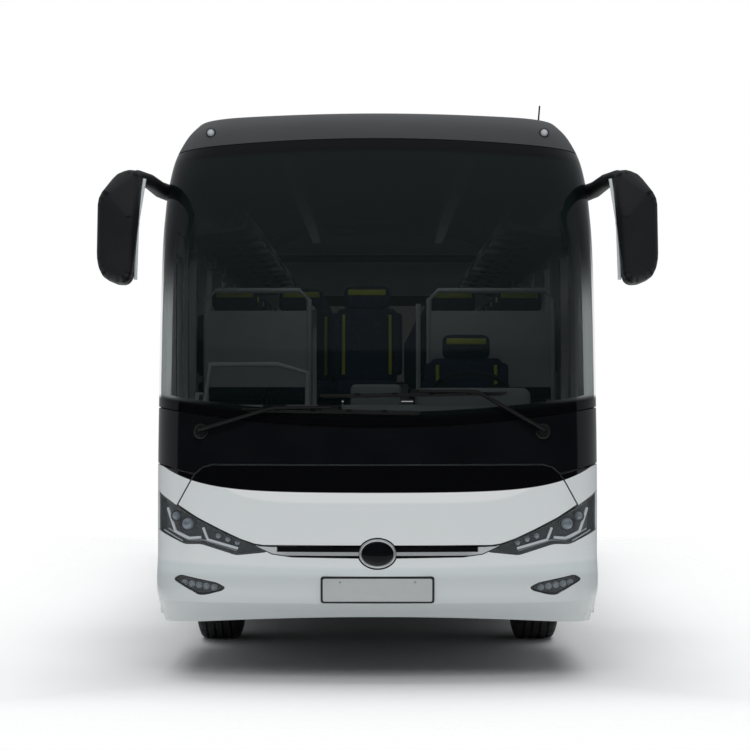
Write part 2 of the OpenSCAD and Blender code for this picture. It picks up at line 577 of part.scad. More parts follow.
// Wipers: pivot, elbow and blade mount of each arm, then the blade's two ends
ARMS = [[[-1001, 1412], [-586, 1538], [-266, 1541]], [[936, 1412], [558, 1629], [233, 1632]]];
BLADES = [[[-760, 1533], [238, 1516]], [[727, 1626], [-322, 1611]]];
wiper_lift = 42;
blade_lift = 14;
module wipers() color(black) for (i = [0, 1]) {
  pivot = ARMS[i][0];
  tube(concat([on_front(pivot[0], pivot[1], 1)], [for (p = ARMS[i]) on_front(p[0], p[1], wiper_lift)],
    [on_front(ARMS[i][2][0], ARMS[i][2][1], blade_lift)]), 11, 6);
  a = BLADES[i][0];
  b = BLADES[i][1];
  tube([for (k = [0:6]) let (x = a[0] + (b[0] - a[0]) * k / 6, z = a[1] + (b[1] - a[1]) * k / 6)
    on_front(x, z, blade_lift)], 10, 6);
}

// Mirrors: a tall housing hung from an arm on the pillar, right half
mirror_y = nose_y + 390;
MIRROR = [[1395, 2868], [1470, 2850], [1556, 2730], [1562, 2400], [1545, 2330], [1450, 2290],
  [1440, 2600]];
MIRROR_ARM = [[1236, 1090, 2830], [1300, 930, 2846], [1340, 690, 2872], [1390, 490, 2880],
  [1430, 400, 2840]];
mirror_round = 52;
module mirrors() color(black) both_sides() difference() {
  mirror_right();
  long_prism(-half_l, half_l) body_curve(wall_t, WALL_CURVE);
}
module mirror_right() {
  hull() for (p = MIRROR, k = [0, 1])
    translate([p[0], mirror_y - 90 * k, p[1]]) sphere(r = mirror_round - 8 * k, $fn = 14);
  translate([0, nose_y, 0]) tube(MIRROR_ARM, 38, 10);
}

// Antenna on the left of the front cap
antenna_x = half_w - 280;
antenna_y = nose_y + 1390;
module antenna() color(black) {
  z = 3255;
  translate([antenna_x, antenna_y, z - 6]) cylinder(r1 = 20, r2 = 13, h = 30, $fn = 24);
  tube([[antenna_x, antenna_y, z + 22], [antenna_x + 12, antenna_y + 30, z + 150]], 5, 6);
}
// Round clear marker lamps high on the front cap
marker_x = half_w - 285;
marker_z = 3168;
marker_r = 30;
module marker_lamp(out) both_sides() translate([marker_x, front_y(marker_x, marker_z) + 60, marker_z])
  rotate([90, 0, 0]) cylinder(r = marker_r + out, h = 70, $fn = 32);
module marker_lamps() color(clear) marker_lamp(0);

// Rear shell panels
rear_window_hw = half_w - 370;
REAR_WINDOW = [-rear_window_hw, 1760, rear_window_hw, 2660];
tail_x0 = half_w - 190;
tail_x1 = half_w - 75;
TAIL_LAMPS = [for (z = [[760, 1000], [1015, 1255], [1270, 1400]]) [tail_x0, z[0], tail_x1, z[1]]];
module engine_lid_outline(out) polygon(round_rect(-engine_lid_hw - out, engine_lid_z0 - out,
  engine_lid_hw + out, engine_lid_z1 + out, 60));
module rear_window_outline(in) polygon(round_rect(REAR_WINDOW[0] + in, REAR_WINDOW[1] + in,
  REAR_WINDOW[2] - in, REAR_WINDOW[3] - in, 90));
rear_cut = half_l - 420;
module rear_wall() color(white) difference() {
  rear_panel(REAR_BREAK, REAR_HEAD, 10, skin_t);
  long_prism(rear_cut, front_cut) engine_lid_outline(panel_gap);
  long_prism(rear_cut, front_cut) rear_window_outline(0);
  for (l = TAIL_LAMPS) both_sides() long_prism(rear_cut, front_cut)
    polygon(round_rect(l[0] - 2, l[1] - 2, l[2] + 2, l[3] + 2, 40));
}
module rear_cap() color(white) rear_panel(REAR_HEAD, REAR_CROWN, 9, skin_t, tail_cap_end);
module rear_bumper() color(white) rear_panel(REAR_FOOT, REAR_BREAK, 4, skin_t);
module tail_lamps() color("red") intersection() {
  rear_panel(REAR_BREAK, 4, 8, lamp_depth);
  both_sides() for (l = TAIL_LAMPS)
    long_prism(rear_cut, front_cut) polygon(round_rect(l[0], l[1], l[2], l[3], 38));
}
module engine_lid() color(white) intersection() {
  rear_panel(REAR_BREAK, 4, 8, skin_t);
  long_prism(rear_cut, front_cut) engine_lid_outline(0);
}

// Axles
axle_z = tyre_r;
front_wheel_x = front_track / 2;
kingpin_x = front_wheel_x - kingpin_in;
rear_wheel_x = rear_track / 2;
pin_r = 26;
pin_play = 0.5;
boss_r = 60;
boss_h = 110;
beam_drop = 90;
bellow_r = 125;
// How far the hubs stand out from the wheels' middle planes
hub_out = 60;
rear_hub_out = 250;
// Front axle: a dropped beam, kingpin bosses with bores, and an air spring under each rail
module front_axle() color(black) translate([0, front_axle_y, 0]) {
  difference() {
    union() {
      side_beam();
      both_sides() translate([kingpin_x, 0, axle_z - boss_h / 2])
        cylinder(r = boss_r, h = boss_h, $fn = 48);
    }
    both_sides() translate([kingpin_x, 0, axle_z - boss_h])
      cylinder(r = pin_r + pin_play, h = 2 * boss_h, $fn = 48);
  }
  both_sides() translate([rail_x, 0, axle_z - beam_drop + 44])
    cylinder(r = bellow_r, h = front_rail_z0 - axle_z + beam_drop - 44, $fn = 48);
}
module side_beam() rotate([90, 0, 0]) translate([0, 0, -45]) linear_extrude(90) polygon([
  [-kingpin_x, axle_z - 45], [-kingpin_x + 110, axle_z - 45], [-kingpin_x + 230, axle_z - beam_drop - 45],
  [kingpin_x - 230, axle_z - beam_drop - 45], [kingpin_x - 110, axle_z - 45], [kingpin_x, axle_z - 45],
  [kingpin_x, axle_z + 45], [kingpin_x - 110, axle_z + 45], [kingpin_x - 230, axle_z - beam_drop + 45],
  [-kingpin_x + 230, axle_z - beam_drop + 45], [-kingpin_x + 110, axle_z + 45], [-kingpin_x, axle_z + 45]]);

// Steering knuckle: a fork round the boss, its kingpin and the stub the hub turns on
stub_r = 42;
fork_t = 26;
fork_gap = 3;
fork_h = boss_h + 2 * fork_gap + 2 * fork_t;
module knuckle(side) color(steel) translate([0, front_axle_y, axle_z]) scale([side, 1, 1]) {
  translate([kingpin_x, 0, -fork_h / 2]) cylinder(r = pin_r, h = fork_h, $fn = 48);
  for (z = [-fork_h / 2, fork_h / 2 - fork_t])
    translate([kingpin_x - 45, -45, z]) cube([45 + boss_r + 24, 90, fork_t]);
  translate([kingpin_x + boss_r + 6, -60, -fork_h / 2]) cube([24, 120, fork_h]);
  translate([kingpin_x + boss_r + 6, 0, 0]) rotate([0, 90, 0])
    cylinder(r = stub_r, h = kingpin_in + hub_out - boss_r - 20, $fn = 48);
}
// Rear axle: one turned shape with the differential case, the tubes and the ends the hubs turn on
tube_r = 110;
case_r = 215;
tube_x = rear_wheel_x - 330;
CASE = [for (a = [75:-15:15]) [case_r * sin(a), case_r * cos(a)]];
AXLE = concat([for (p = CASE) if (p[0] > tube_r) p], [[tube_r, 190], [tube_r, tube_x], [stub_r, tube_x],
  [stub_r, rear_wheel_x + rear_hub_out], [0, rear_wheel_x + rear_hub_out]]);
module rear_axle() color(black) translate([0, rear_axle_y, 0]) {
  turned(0, 0) polygon(concat([for (p = reversed(AXLE)) [p[0], -p[1]]], [[case_r, 0]], AXLE));
  both_sides() block(rail_x - 50, -60, axle_z - 130, rail_x + 50, 60, axle_z - 60);
  for (y = [-330, 330]) both_sides() {
    block(rail_x - 50, min(y, 0), axle_z + 60, rail_x + 50, max(y, 0), axle_z + 130);
    translate([rail_x, y, axle_z + 60]) cylinder(r = bellow_r, h = rail_z0 - axle_z - 60, $fn = 48);
  }
}

// Tyre and rim turned about the X axis, outer face towards +X
module turned(x, y) translate([x, y, axle_z]) rotate([0, 90, 0]) rotate_extrude($fn = 96) children();
module tyre_profile() polygon([[rim_r, -tyre_w / 2 + 34], [rim_r + 34, -tyre_w / 2 + 10],
  [(rim_r + tyre_r) / 2, -tyre_w / 2], [tyre_r - 62, -tyre_w / 2 + 6], [tyre_r - 18, -tyre_w / 2 + 22],
  [tyre_r, -tyre_w / 2 + 48], [tyre_r, tyre_w / 2 - 48], [tyre_r - 18, tyre_w / 2 - 22],
  [tyre_r - 62, tyre_w / 2 - 6], [(rim_r + tyre_r) / 2, tyre_w / 2], [rim_r + 34, tyre_w / 2 - 10],
  [rim_r, tyre_w / 2 - 34]]);
// Rim barrel with a dished disc at the offset given, bored for the stub
rim_t = 14;
hub_r = 110;
flange_h = 12;
module rim_profile(disc, bore) polygon([[rim_r, -tyre_w / 2 + 34], [rim_r, tyre_w / 2 - 34],
  [rim_r + flange_h, tyre_w / 2 - 24], [rim_r - rim_t, tyre_w / 2 - 24], [rim_r - rim_t, disc + 30],
  [rim_r - 60, disc + 20], [hub_r + 50, disc + 12], [hub_r, disc + 60], [bore, disc + 60],
  [bore, disc - 60], [hub_r, disc - 60], [hub_r, disc - 10], [hub_r + 50, disc - 4],
  [rim_r - 60, disc], [rim_r - rim_t, disc - 14], [rim_r - rim_t, -tyre_w / 2 + 24],
  [rim_r + flange_h, -tyre_w / 2 + 24]]);
module tyre_front(side) color(black) turned(side * front_wheel_x, front_axle_y) tyre_profile();
front_disc = 60;
stub_play = 0.5;
module rim_front(side) color(steel) scale([side, 1, 1]) turned(front_wheel_x, front_axle_y)
  rim_profile(front_disc, stub_r + stub_play);
module tyres_rear(side) color(black) for (d = [-1, 1])
  turned(side * (rear_wheel_x + d * twin_pitch / 2), rear_axle_y) tyre_profile();
rear_disc = twin_pitch / 2 - 40;
module rims_rear(side) color(steel) scale([side, 1, 1]) {
  turned(rear_wheel_x + twin_pitch / 2, rear_axle_y) mirror([0, 1])
    rim_profile(rear_disc, stub_r + stub_play);
  turned(rear_wheel_x - twin_pitch / 2, rear_axle_y) rim_profile(rear_disc, stub_r + stub_play);
}

// Engine, one block at the tail
engine_hw = rail_x - rail_w / 2 - 60;
engine_y = [rear_axle_y + 1200, half_l - 640];
module engine() color(black) {
  block(-engine_hw, engine_y[0], 480, engine_hw, engine_y[1], 1150);
  both_sides() block(engine_hw, engine_y[0] + 60, rail_z0 + 40, rail_x - rail_w / 2, engine_y[0] + 220,
    rail_z0 + 140);
}

// Dashboard, following the inside of the front shell
DASH = [[90, 1395], [90, 1330], [430, 1300], [690, platform_z], [850, platform_z],
  [870, 1380], [810, 1520], [660, 1560], [530, 1480], [370, 1420]];
dash_in = 75;
dash_end = half_l - 990;
module dashboard() color(steel) {
  intersection() {
    side_prism(-half_w, half_w) translate([nose_y, 0]) polygon(DASH);
    translate([0, 0, platform_z]) linear_extrude(1000) polygon(
      [for (u = ACROSS) plan(u, half_w - dash_in, half_l - 60 - dash_in, 380 - dash_in, front_r, dash_end)]);
  }
  translate(wheel_at) rotate([wheel_tilt - 90, 0, 0]) translate([0, 0, -column_l])
    cylinder(r = 45, h = column_l - 156, $fn = 48);
}
column_l = 480;
driver_x = 560;
wheel_at = [driver_x, nose_y + 1030, 1640];
wheel_tilt = 62;
module steering_wheel() color(black) translate(wheel_at) rotate([wheel_tilt - 90, 0, 0]) {
  rotate_extrude($fn = 64) translate([225, 0]) circle(r = 16, $fn = 24);
  translate([0, 0, -40]) cylinder(r = 60, h = 40, $fn = 48);
  for (a = [0, 120, 240]) rotate([0, 0, a + 90]) translate([40, -18, -26]) cube([180, 36, 18]);
  translate([0, 0, -150]) cylinder(r = 30, h = 120, $fn = 48);
}

// Seats: one side profile [y, z] from the floor, extruded to its width
SEAT = [[120, 0], [330, 0], [330, 300], [470, 290], [500, 420], [520, 460], [640, 1030], [640, 1110],
  [590, 1120], [530, 1060], [420, 520], [40, 470], [0, 430], [10, 360], [120, 330]];
module seat(x, y, z, w) translate([x - w / 2, y, z]) rotate([90, 0, 90]) linear_extrude(w) polygon(SEAT);
module crew_seats() color(seat_blue) {
  seat(driver_x, nose_y + 1210, platform_z, 480);
  seat(1200 - half_w, deck_y0 + 20, deck_z, 420);
}
seat_pitch = 790;
seat_w = 900;
left_first = deck_y0 + 460;
right_first = deck_y0 + 380;
seat_rows = 1 + floor((half_l - 1050 - left_first) / seat_pitch);
seat_x = cabin_x - 20 - seat_w / 2;
module seat_column(x, first) color(seat_blue) for (i = [0:seat_rows - 1])
  seat(x, first + i * seat_pitch, deck_z, seat_w);
module seats_left() seat_column(seat_x, left_first);
module seats_right() seat_column(-seat_x, right_first);

// Guard behind the steps and partition behind the driver
guard_y = deck_y0 + 90;
module guard(x0, x1, z1) {
  tube([[x0, guard_y, deck_z], [x0, guard_y, z1 - 60], [x0 + 60, guard_y, z1], [x1 - 60, guard_y, z1],
    [x1, guard_y, z1 - 60], [x1, guard_y, deck_z]], 17, 8);
  block(x0, guard_y - 9, deck_z + 430, x1, guard_y + 9, z1 - 130);
}
module cabin_guards() color(steel) {
  guard(-1100, -440, 2290);
  guard(330, 1130, 2290);
}
// Overhead luggage racks
rack_y = [deck_y0 + 200, half_l - 640];
rack_gap = 0.5;
function wall_in(z) = lookup(z, [for (p = WALL_CURVE) [p[1], p[0]]]) - wall_t - rack_gap;
RACK = [[wall_in(2640), 2640], [half_w - 420, 2690], [half_w - 440, 2760], [half_w - 400, 2760],
  [half_w - 390, 2720], [wall_in(2680), 2680]];
module luggage_racks() color(steel) both_sides() long_prism(rack_y[0], rack_y[1]) polygon(RACK);

underframe();
floor();
wall_left();
wall_right();
skirt_left();
skirt_right();
roof();
roof_pod();
front_cap();
front_frame();
windscreen();
cowl();
front_bumper();
headlamps();
fog_lamps();
front_trim();
number_plate();
mirrors();
wipers();
antenna();
marker_lamps();
window_panes();
entry_door();
rear_wall();
rear_cap();
rear_bumper();
tail_lamps();
front_axle();
rear_axle();
engine();
dashboard();
crew_seats();
seats_left();
seats_right();
cabin_guards();
luggage_racks();
service_lid();
engine_lid();
steering_wheel();
knuckle(1);  // knuckle_left
knuckle(-1);  // knuckle_right
tyre_front(1);  // tyre_front_left
tyre_front(-1);  // tyre_front_right
rim_front(1);  // rim_front_left
rim_front(-1);  // rim_front_right
tyres_rear(1);  // tyres_rear_left
tyres_rear(-1);  // tyres_rear_right
rims_rear(1);  // rims_rear_left
rims_rear(-1);  // rims_rear_right
luggage_flap(1, 1);  // luggage_flap_left_1
luggage_flap(1, 2);  // luggage_flap_left_2
luggage_flap(1, 3);  // luggage_flap_left_3
luggage_flap(-1, 1);  // luggage_flap_right_1
luggage_flap(-1, 2);  // luggage_flap_right_2
luggage_flap(-1, 3);  // luggage_flap_right_3
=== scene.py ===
"""Looks of the coach bus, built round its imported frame: paint, glass, lamps, cabin, wheels and stage."""

import json
import math

import bmesh
import bpy
from bpy.props import FloatProperty, FloatVectorProperty, PointerProperty
from mathutils import Matrix, Vector

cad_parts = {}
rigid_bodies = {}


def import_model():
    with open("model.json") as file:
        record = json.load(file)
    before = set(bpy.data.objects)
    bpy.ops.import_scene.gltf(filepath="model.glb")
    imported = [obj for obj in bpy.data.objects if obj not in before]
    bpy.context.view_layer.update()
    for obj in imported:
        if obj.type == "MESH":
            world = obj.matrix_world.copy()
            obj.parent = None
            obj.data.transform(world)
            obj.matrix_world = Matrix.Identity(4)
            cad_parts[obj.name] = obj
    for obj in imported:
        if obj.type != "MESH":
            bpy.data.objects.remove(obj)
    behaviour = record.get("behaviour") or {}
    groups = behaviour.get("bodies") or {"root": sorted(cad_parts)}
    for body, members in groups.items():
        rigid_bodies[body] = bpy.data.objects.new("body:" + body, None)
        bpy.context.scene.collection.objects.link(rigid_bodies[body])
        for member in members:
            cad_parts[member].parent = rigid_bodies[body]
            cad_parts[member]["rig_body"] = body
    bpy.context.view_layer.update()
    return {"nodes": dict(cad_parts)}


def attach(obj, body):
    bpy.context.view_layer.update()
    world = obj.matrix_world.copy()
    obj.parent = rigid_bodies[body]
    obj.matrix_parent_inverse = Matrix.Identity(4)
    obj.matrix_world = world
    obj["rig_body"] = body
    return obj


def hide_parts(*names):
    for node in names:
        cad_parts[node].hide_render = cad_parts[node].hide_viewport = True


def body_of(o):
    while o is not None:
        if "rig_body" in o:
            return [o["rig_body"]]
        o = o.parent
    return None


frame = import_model()

bl_info = {
    "name": "Coach bus",
    "version": (1, 0, 0),
    "blender": (4, 2, 0),
    "location": "View3D > Sidebar > Coach",
    "description": "Builds the looks of a touring coach round its frame",
    "category": "Object",
}


# Shader maths

# Colour sockets of a Mix node
MIX_A, MIX_B, MIX_RESULT = 6, 7, 2


class Val:
    """One value in a shader, which takes the usual operators."""

    def __init__(self, shader, socket):
        self.shader = shader
        self.socket = socket

    def _math(self, operation, *values):
        node = self.shader.node("ShaderNodeMath", dict(enumerate(values)), operation=operation)
        return Val(self.shader, node.outputs["Value"])

    def __add__(self, other):
        return self._math("ADD", self, other)

    def __radd__(self, other):
        return self._math("ADD", other, self)

    def __sub__(self, other):
        return self._math("SUBTRACT", self, other)

    def __rsub__(self, other):
        return self._math("SUBTRACT", other, self)

    def __mul__(self, other):
        return self._math("MULTIPLY", self, other)

    def __rmul__(self, other):
        return self._math("MULTIPLY", other, self)

    def __truediv__(self, other):
        return self._math("DIVIDE", self, other)

    def __rtruediv__(self, other):
        return self._math("DIVIDE", other, self)

    def __pow__(self, other):
        return self._math("POWER", self, other)

    def __rpow__(self, other):
        return self._math("POWER", other, self)

    def __abs__(self):
        return self._math("ABSOLUTE", self)

    def sin(self):
        return self._math("SINE", self)

    def frac(self):
        return self._math("FRACT", self)

    def smallest(self, other):
        return self._math("MINIMUM", self, other)

    def largest(self, other):
        return self._math("MAXIMUM", self, other)

    def ramp(self, low, high):
        """0 at low, 1 at high, eased between."""
        node = self.shader.node("ShaderNodeMapRange", {"Value": self, "From Min": low, "From Max": high},
                                interpolation_type="SMOOTHSTEP")
        return Val(self.shader, node.outputs["Result"])


class Shader:
    """A material with one Principled surface, built from object coordinates."""

    def __init__(self, name):
        self.material = bpy.data.materials.new(name)
        self.material.use_nodes = True
        self.tree = self.material.node_tree
        self.surface = self.tree.nodes["Principled BSDF"]
        self.place = self.node("ShaderNodeTexCoord").outputs["Object"]
        split = self.node("ShaderNodeSeparateXYZ", {"Vector": self.place})
        self.x, self.y, self.z = (Val(self, out) for out in split.outputs)

    def node(self, kind, inputs=None, **settings):
        """A node of that kind: its settings first, then the values or links of its sockets."""
        node = self.tree.nodes.new(kind)
        for name, value in settings.items():
            setattr(node, name, value)
        for socket, value in (inputs or {}).items():
            self.feed(node.inputs[socket], value)
        return node

    def feed(self, socket, value):
        if isinstance(value, Val):
            value = value.socket
        if isinstance(value, bpy.types.NodeSocket):
            self.tree.links.new(value, socket)
        else:
            socket.default_value = value

    def noise(self, scale, detail):
        """Soft clouds."""
        node = self.node("ShaderNodeTexNoise", {"Vector": self.place, "Scale": scale, "Detail": detail})
        return Val(self, node.outputs["Fac"])

    def cells(self, scale):
        """Distance to the nearest of many scattered points."""
        node = self.node("ShaderNodeTexVoronoi", {"Vector": self.place, "Scale": scale})
        return Val(self, node.outputs["Distance"])

    def mix(self, first, second, share):
        """A colour between two, each three numbers or another mix."""
        first, second = (c if isinstance(c, bpy.types.NodeSocket) else (*c, 1.0) for c in (first, second))
        node = self.node("ShaderNodeMix", {"Factor": share, MIX_A: first, MIX_B: second}, data_type="RGBA")
        return node.outputs[MIX_RESULT]

    def bump(self, height, strength, distance):
        node = self.node("ShaderNodeBump", {"Strength": strength, "Distance": distance, "Height": height})
        self.feed(self.surface.inputs["Normal"], node.outputs["Normal"])

    def set(self, **values):
        """Sets the surface's sockets; a space in a socket's name is written as an underscore."""
        for name, value in values.items():
            self.feed(self.surface.inputs[name.replace("_", " ")], value)


# Shapes, in metres unless a comment says otherwise

MM = 0.001
HALF_WIDTH = 1.27
# Thickness of the painted skins and width of the gaps between them
SKIN, GAP = 0.012, 0.008
# Points closer than this are merged
WELD = 1e-5
# Tyre radius and width, rim radius, axle places along the body
TYRE_R, TYRE_W, RIM_R = 0.52, 0.298, 0.286
FRONT_Y, REAR_Y = -3.35, 2.75
# Sections of the shells, bottom to top, in millimetres: height at the side, half width, distance of the
# nose or tail from the origin, corner radius, rise of the middle over the side
FRONT_ROWS = [
    (312, 1236, 5895, 400, 54), (432, 1266, 5968, 390, 9), (737, 1270, 5990, 380, 0),
    (1225, 1270, 5982, 380, -162), (1548, 1270, 5935, 380, -113), (2200, 1270, 5780, 375, -40),
    (2645, 1261, 5640, 370, 0), (2880, 1238, 5548, 365, 30), (3057, 1196, 5440, 360, 54),
    (3168, 1140, 5340, 340, 42), (3225, 1099, 5245, 320, 34), (3272, 1055, 5100, 300, 24),
    (3246, 1014, 4930, 280, 66), (3246, 984, 4700, 260, 86)]
REAR_ROWS = [
    (340, 1245, 5945, 240, 0), (640, 1270, 5990, 240, 0), (1300, 1270, 5980, 240, 0),
    (1900, 1270, 5955, 240, 0), (2300, 1268, 5925, 240, 0), (2645, 1261, 5890, 240, 0),
    (2880, 1238, 5850, 240, 0), (3057, 1196, 5790, 240, 10), (3168, 1140, 5710, 230, 20),
    (3225, 1099, 5630, 220, 30), (3272, 1055, 5530, 210, 24), (3246, 1014, 5420, 200, 66),
    (3246, 984, 5300, 200, 86)]


class Shell:
    """The wrap-round surface at one end of the body, facing 1 at the front and -1 at the rear."""

    # How far the skins run along the side past the corner
    wrap = 0.09

    def __init__(self, rows, radius, facing):
        self.rows = [tuple(v * MM for v in row) for row in rows]
        self.radius = radius
        self.facing = facing
        self.at = [0.0]
        for a, b in zip(self.rows, self.rows[1:]):
            self.at.append(self.at[-1] + math.hypot(b[0] + b[4] - a[0] - a[4], b[2] - a[2]))
        self.slopes = [[self._slope(i, c) for c in range(5)] for i in range(len(rows))]

    def _slope(self, i, c):
        """How fast column c changes up the middle line at row i."""
        t, s, last = self.rows, self.at, len(self.rows) - 1
        if i in (0, last):
            a, b = (0, 1) if i == 0 else (last - 1, last)
            return (t[b][c] - t[a][c]) / (s[b] - s[a])
        a, b = s[i] - s[i - 1], s[i + 1] - s[i]
        return ((t[i][c] - t[i - 1][c]) / a * b + (t[i + 1][c] - t[i][c]) / b * a) / (a + b)

    def ring(self, s):
        """Height, half width, nose, corner radius and crown at distance s up the middle line."""
        i = max(k for k in range(len(self.at) - 1) if k == 0 or self.at[k] <= s)
        h = self.at[i + 1] - self.at[i]
        f = (s - self.at[i]) / h
        a, b = 2 * f**3 - 3 * f**2 + 1, (f**3 - 2 * f**2 + f) * h
        c, d = 3 * f**2 - 2 * f**3, (f**3 - f**2) * h
        return [a * p + b * m + c * q + d * n for p, m, q, n in zip(
            self.rows[i], self.slopes[i], self.rows[i + 1], self.slopes[i + 1])]

    def corner_y(self, hw, nose, r):
        """Where the middle of the corner's arc lies along the body."""
        return self.radius - nose - math.sqrt((self.radius - r) ** 2 - (hw - r) ** 2)

    def point(self, u, s, end=None, lift=0.0):
        """u is 0 to 1 on the front arc, to 2 round the corner and to 3 along the side."""
        z, hw, nose, r, crown = self.ring(s)
        a, big = abs(u), self.radius
        a0 = math.asin((hw - r) / (big - r))
        yc = self.corner_y(hw, nose, r)
        if a <= 1:
            x, y = big * math.sin(a * a0), big - nose - big * math.cos(a * a0)
        elif a <= 2:
            turn = a0 + (a - 1) * (math.pi / 2 - a0)
            x, y = hw - r + r * math.sin(turn), yc - r * math.cos(turn)
        else:
            x, y = hw, yc + (a - 2) * ((yc + self.wrap if end is None else -end) - yc)
        p = Vector((math.copysign(x, u), y * self.facing, z + crown * (1 - (x / hw) ** 2)))
        return p + lift * self.normal(u, s, end) if lift else p

    def normal(self, u, s, end=None):
        """The direction straight out of the surface."""
        u0, u1, s0, s1 = max(u - 0.01, -3), min(u + 0.01, 3), max(s - 0.002, 0), min(s + 0.002, self.at[-1])
        n = (self.point(u1, s, end) - self.point(u0, s, end)).cross(
            self.point(u, s1, end) - self.point(u, s0, end))
        return n.normalized() * self.facing

    def s_at(self, x, z):
        """The distance up the middle line of the section that passes through x and z."""
        low, high = 0.0, self.at[-1]
        for _ in range(22):
            mid = (low + high) / 2
            row = self.ring(mid)
            low, high = (mid, high) if row[0] + row[4] * (1 - (x / row[1]) ** 2) < z else (low, mid)
        return (low + high) / 2

    def on(self, x, z, lift=0.0):
        """The place on the surface at x and z seen from the end, lifted straight out."""
        s = self.s_at(x, z)
        _, hw, _, r, _ = self.ring(s)
        a0 = math.asin((hw - r) / (self.radius - r))
        ax = abs(x)
        if ax <= self.radius * math.sin(a0):
            u = math.asin(ax / self.radius) / a0
        else:
            turn = math.asin(min((ax - hw + r) / r, 1.0))
            u = 1 + (turn - a0) / (math.pi / 2 - a0)
        return self.point(math.copysign(u, x), s, None, lift)


# Radii of the arcs across the body
FRONT_ARC, REAR_ARC = 4.2, 7.0
FRONT = Shell(FRONT_ROWS, FRONT_ARC, 1)
REAR = Shell(REAR_ROWS, REAR_ARC, -1)


def spread(*stops):
    """Stations through the stops, each given as (value, steps to reach it)."""
    out = [stops[0][0]]
    for value, steps in stops[1:]:
        start = out[-1]
        out += [start + (value - start) * i / steps for i in range(1, steps + 1)]
    return out


# Stations across a shell, by the u of Shell.point
ACROSS = spread((-3, 0), (-2, 3), (-1, 16), (1, 40), (2, 16), (3, 3))


def finish(name):
    """The material of a finish."""
    return bpy.data.materials["coach " + name]


def shaded(bm, angle=32):
    """Smooth faces with sharp edges kept where the surface breaks."""
    limit = math.radians(angle)
    for face in bm.faces:
        face.smooth = True
    for edge in bm.edges:
        edge.smooth = len(edge.link_faces) == 2 and edge.calc_face_angle(0.0) < limit


def piece(name, bm, materials, body="body", replaces=(), angle=32):
    """Turns a bmesh into an object that rides on a body."""
    bmesh.ops.recalc_face_normals(bm, faces=bm.faces)
    shaded(bm, angle)
    obj = stood(name, bm, materials)
    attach(obj, body)
    if replaces:
        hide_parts(*replaces)
    return obj


def stood(name, bm, materials):
    """An object at the origin with the bmesh as its mesh."""
    mesh = bpy.data.meshes.new(name)
    bm.to_mesh(mesh)
    bm.free()
    for material in [materials] if isinstance(materials, str) else materials:
        mesh.materials.append(finish(material))
    obj = bpy.data.objects.new(name, mesh)
    bpy.context.scene.collection.objects.link(obj)
    return obj


def add(bm, make, material=0):
    """Runs make on a fresh bmesh and joins the result to bm with that material slot."""
    part = bmesh.new()
    make(part)
    for face in part.faces:
        face.material_index = material
    mesh = bpy.data.meshes.new("part")
    part.to_mesh(mesh)
    part.free()
    bm.from_mesh(mesh)
    bpy.data.meshes.remove(mesh)


def sheet(bm, shell, us, ss, end=None, lift=0.0, thick=0.0):
    """A panel of a shell over stations us and ss, lifted, with thickness inwards."""
    bmesh.ops.create_grid(bm, x_segments=len(us) - 1, y_segments=len(ss) - 1, size=1)
    for vert in bm.verts:
        i = round((vert.co.x + 1) / 2 * (len(us) - 1))
        j = round((vert.co.y + 1) / 2 * (len(ss) - 1))
        vert.co = shell.point(us[i], ss[j], end, lift)
    bmesh.ops.recalc_face_normals(bm, faces=bm.faces)
    face = min(bm.faces, key=lambda f: f.calc_center_median().y * shell.facing)
    if face.normal.y * shell.facing > 0:
        bmesh.ops.reverse_faces(bm, faces=bm.faces)
    if thick:
        bmesh.ops.solidify(bm, geom=bm.faces, thickness=thick)


def panel(shell, low, high, steps, end=None):
    """A new bmesh with one painted skin of a shell between two lines."""
    bm = bmesh.new()
    sheet(bm, shell, ACROSS, spread((low, 0), (high, steps)), end=end, thick=SKIN)
    return bm


def prism(bm, outline, y0, y1):
    """A closed prism along Y from an outline of (x, z)."""
    face = bm.faces.new([bm.verts.new((x, y0, z)) for x, z in outline])
    made = bmesh.ops.extrude_face_region(bm, geom=[face])["geom"]
    moved = [g for g in made if isinstance(g, bmesh.types.BMVert)]
    bmesh.ops.translate(bm, vec=(0, y1 - y0, 0), verts=moved)
    bmesh.ops.recalc_face_normals(bm, faces=bm.faces)


def cutter(outline, y0, y1):
    """Fills a bmesh with a prism, for trimmed."""
    return lambda bm: prism(bm, outline, y0, y1)


def trimmed(bm, cutters, operation="DIFFERENCE"):
    """bm cut by the cutters, each a function that fills a bmesh."""
    objects = []
    for fill in [None, *cutters]:
        mesh = bpy.data.meshes.new("cut")
        part = bm if fill is None else bmesh.new()
        if fill:
            fill(part)
        part.to_mesh(mesh)
        if fill:
            part.free()
        obj = bpy.data.objects.new("cut", mesh)
        bpy.context.scene.collection.objects.link(obj)
        objects.append(obj)
    for tool in objects[1:]:
        mod = objects[0].modifiers.new("cut", "BOOLEAN")
        mod.operation = operation
        mod.solver = "EXACT"
        mod.object = tool
    graph = bpy.context.evaluated_depsgraph_get()
    done = bpy.data.meshes.new_from_object(objects[0].evaluated_get(graph))
    bm.clear()
    bm.from_mesh(done)
    bpy.data.meshes.remove(done)
    for obj in objects:
        mesh = obj.data
        bpy.data.objects.remove(obj)
        bpy.data.meshes.remove(mesh)


def corners(outline):
    """Each corner of a closed outline with the ones before and after it."""
    n = len(outline)
    return [[Vector(outline[(i + k) % n]) for k in (-1, 0, 1)] for i in range(n)]


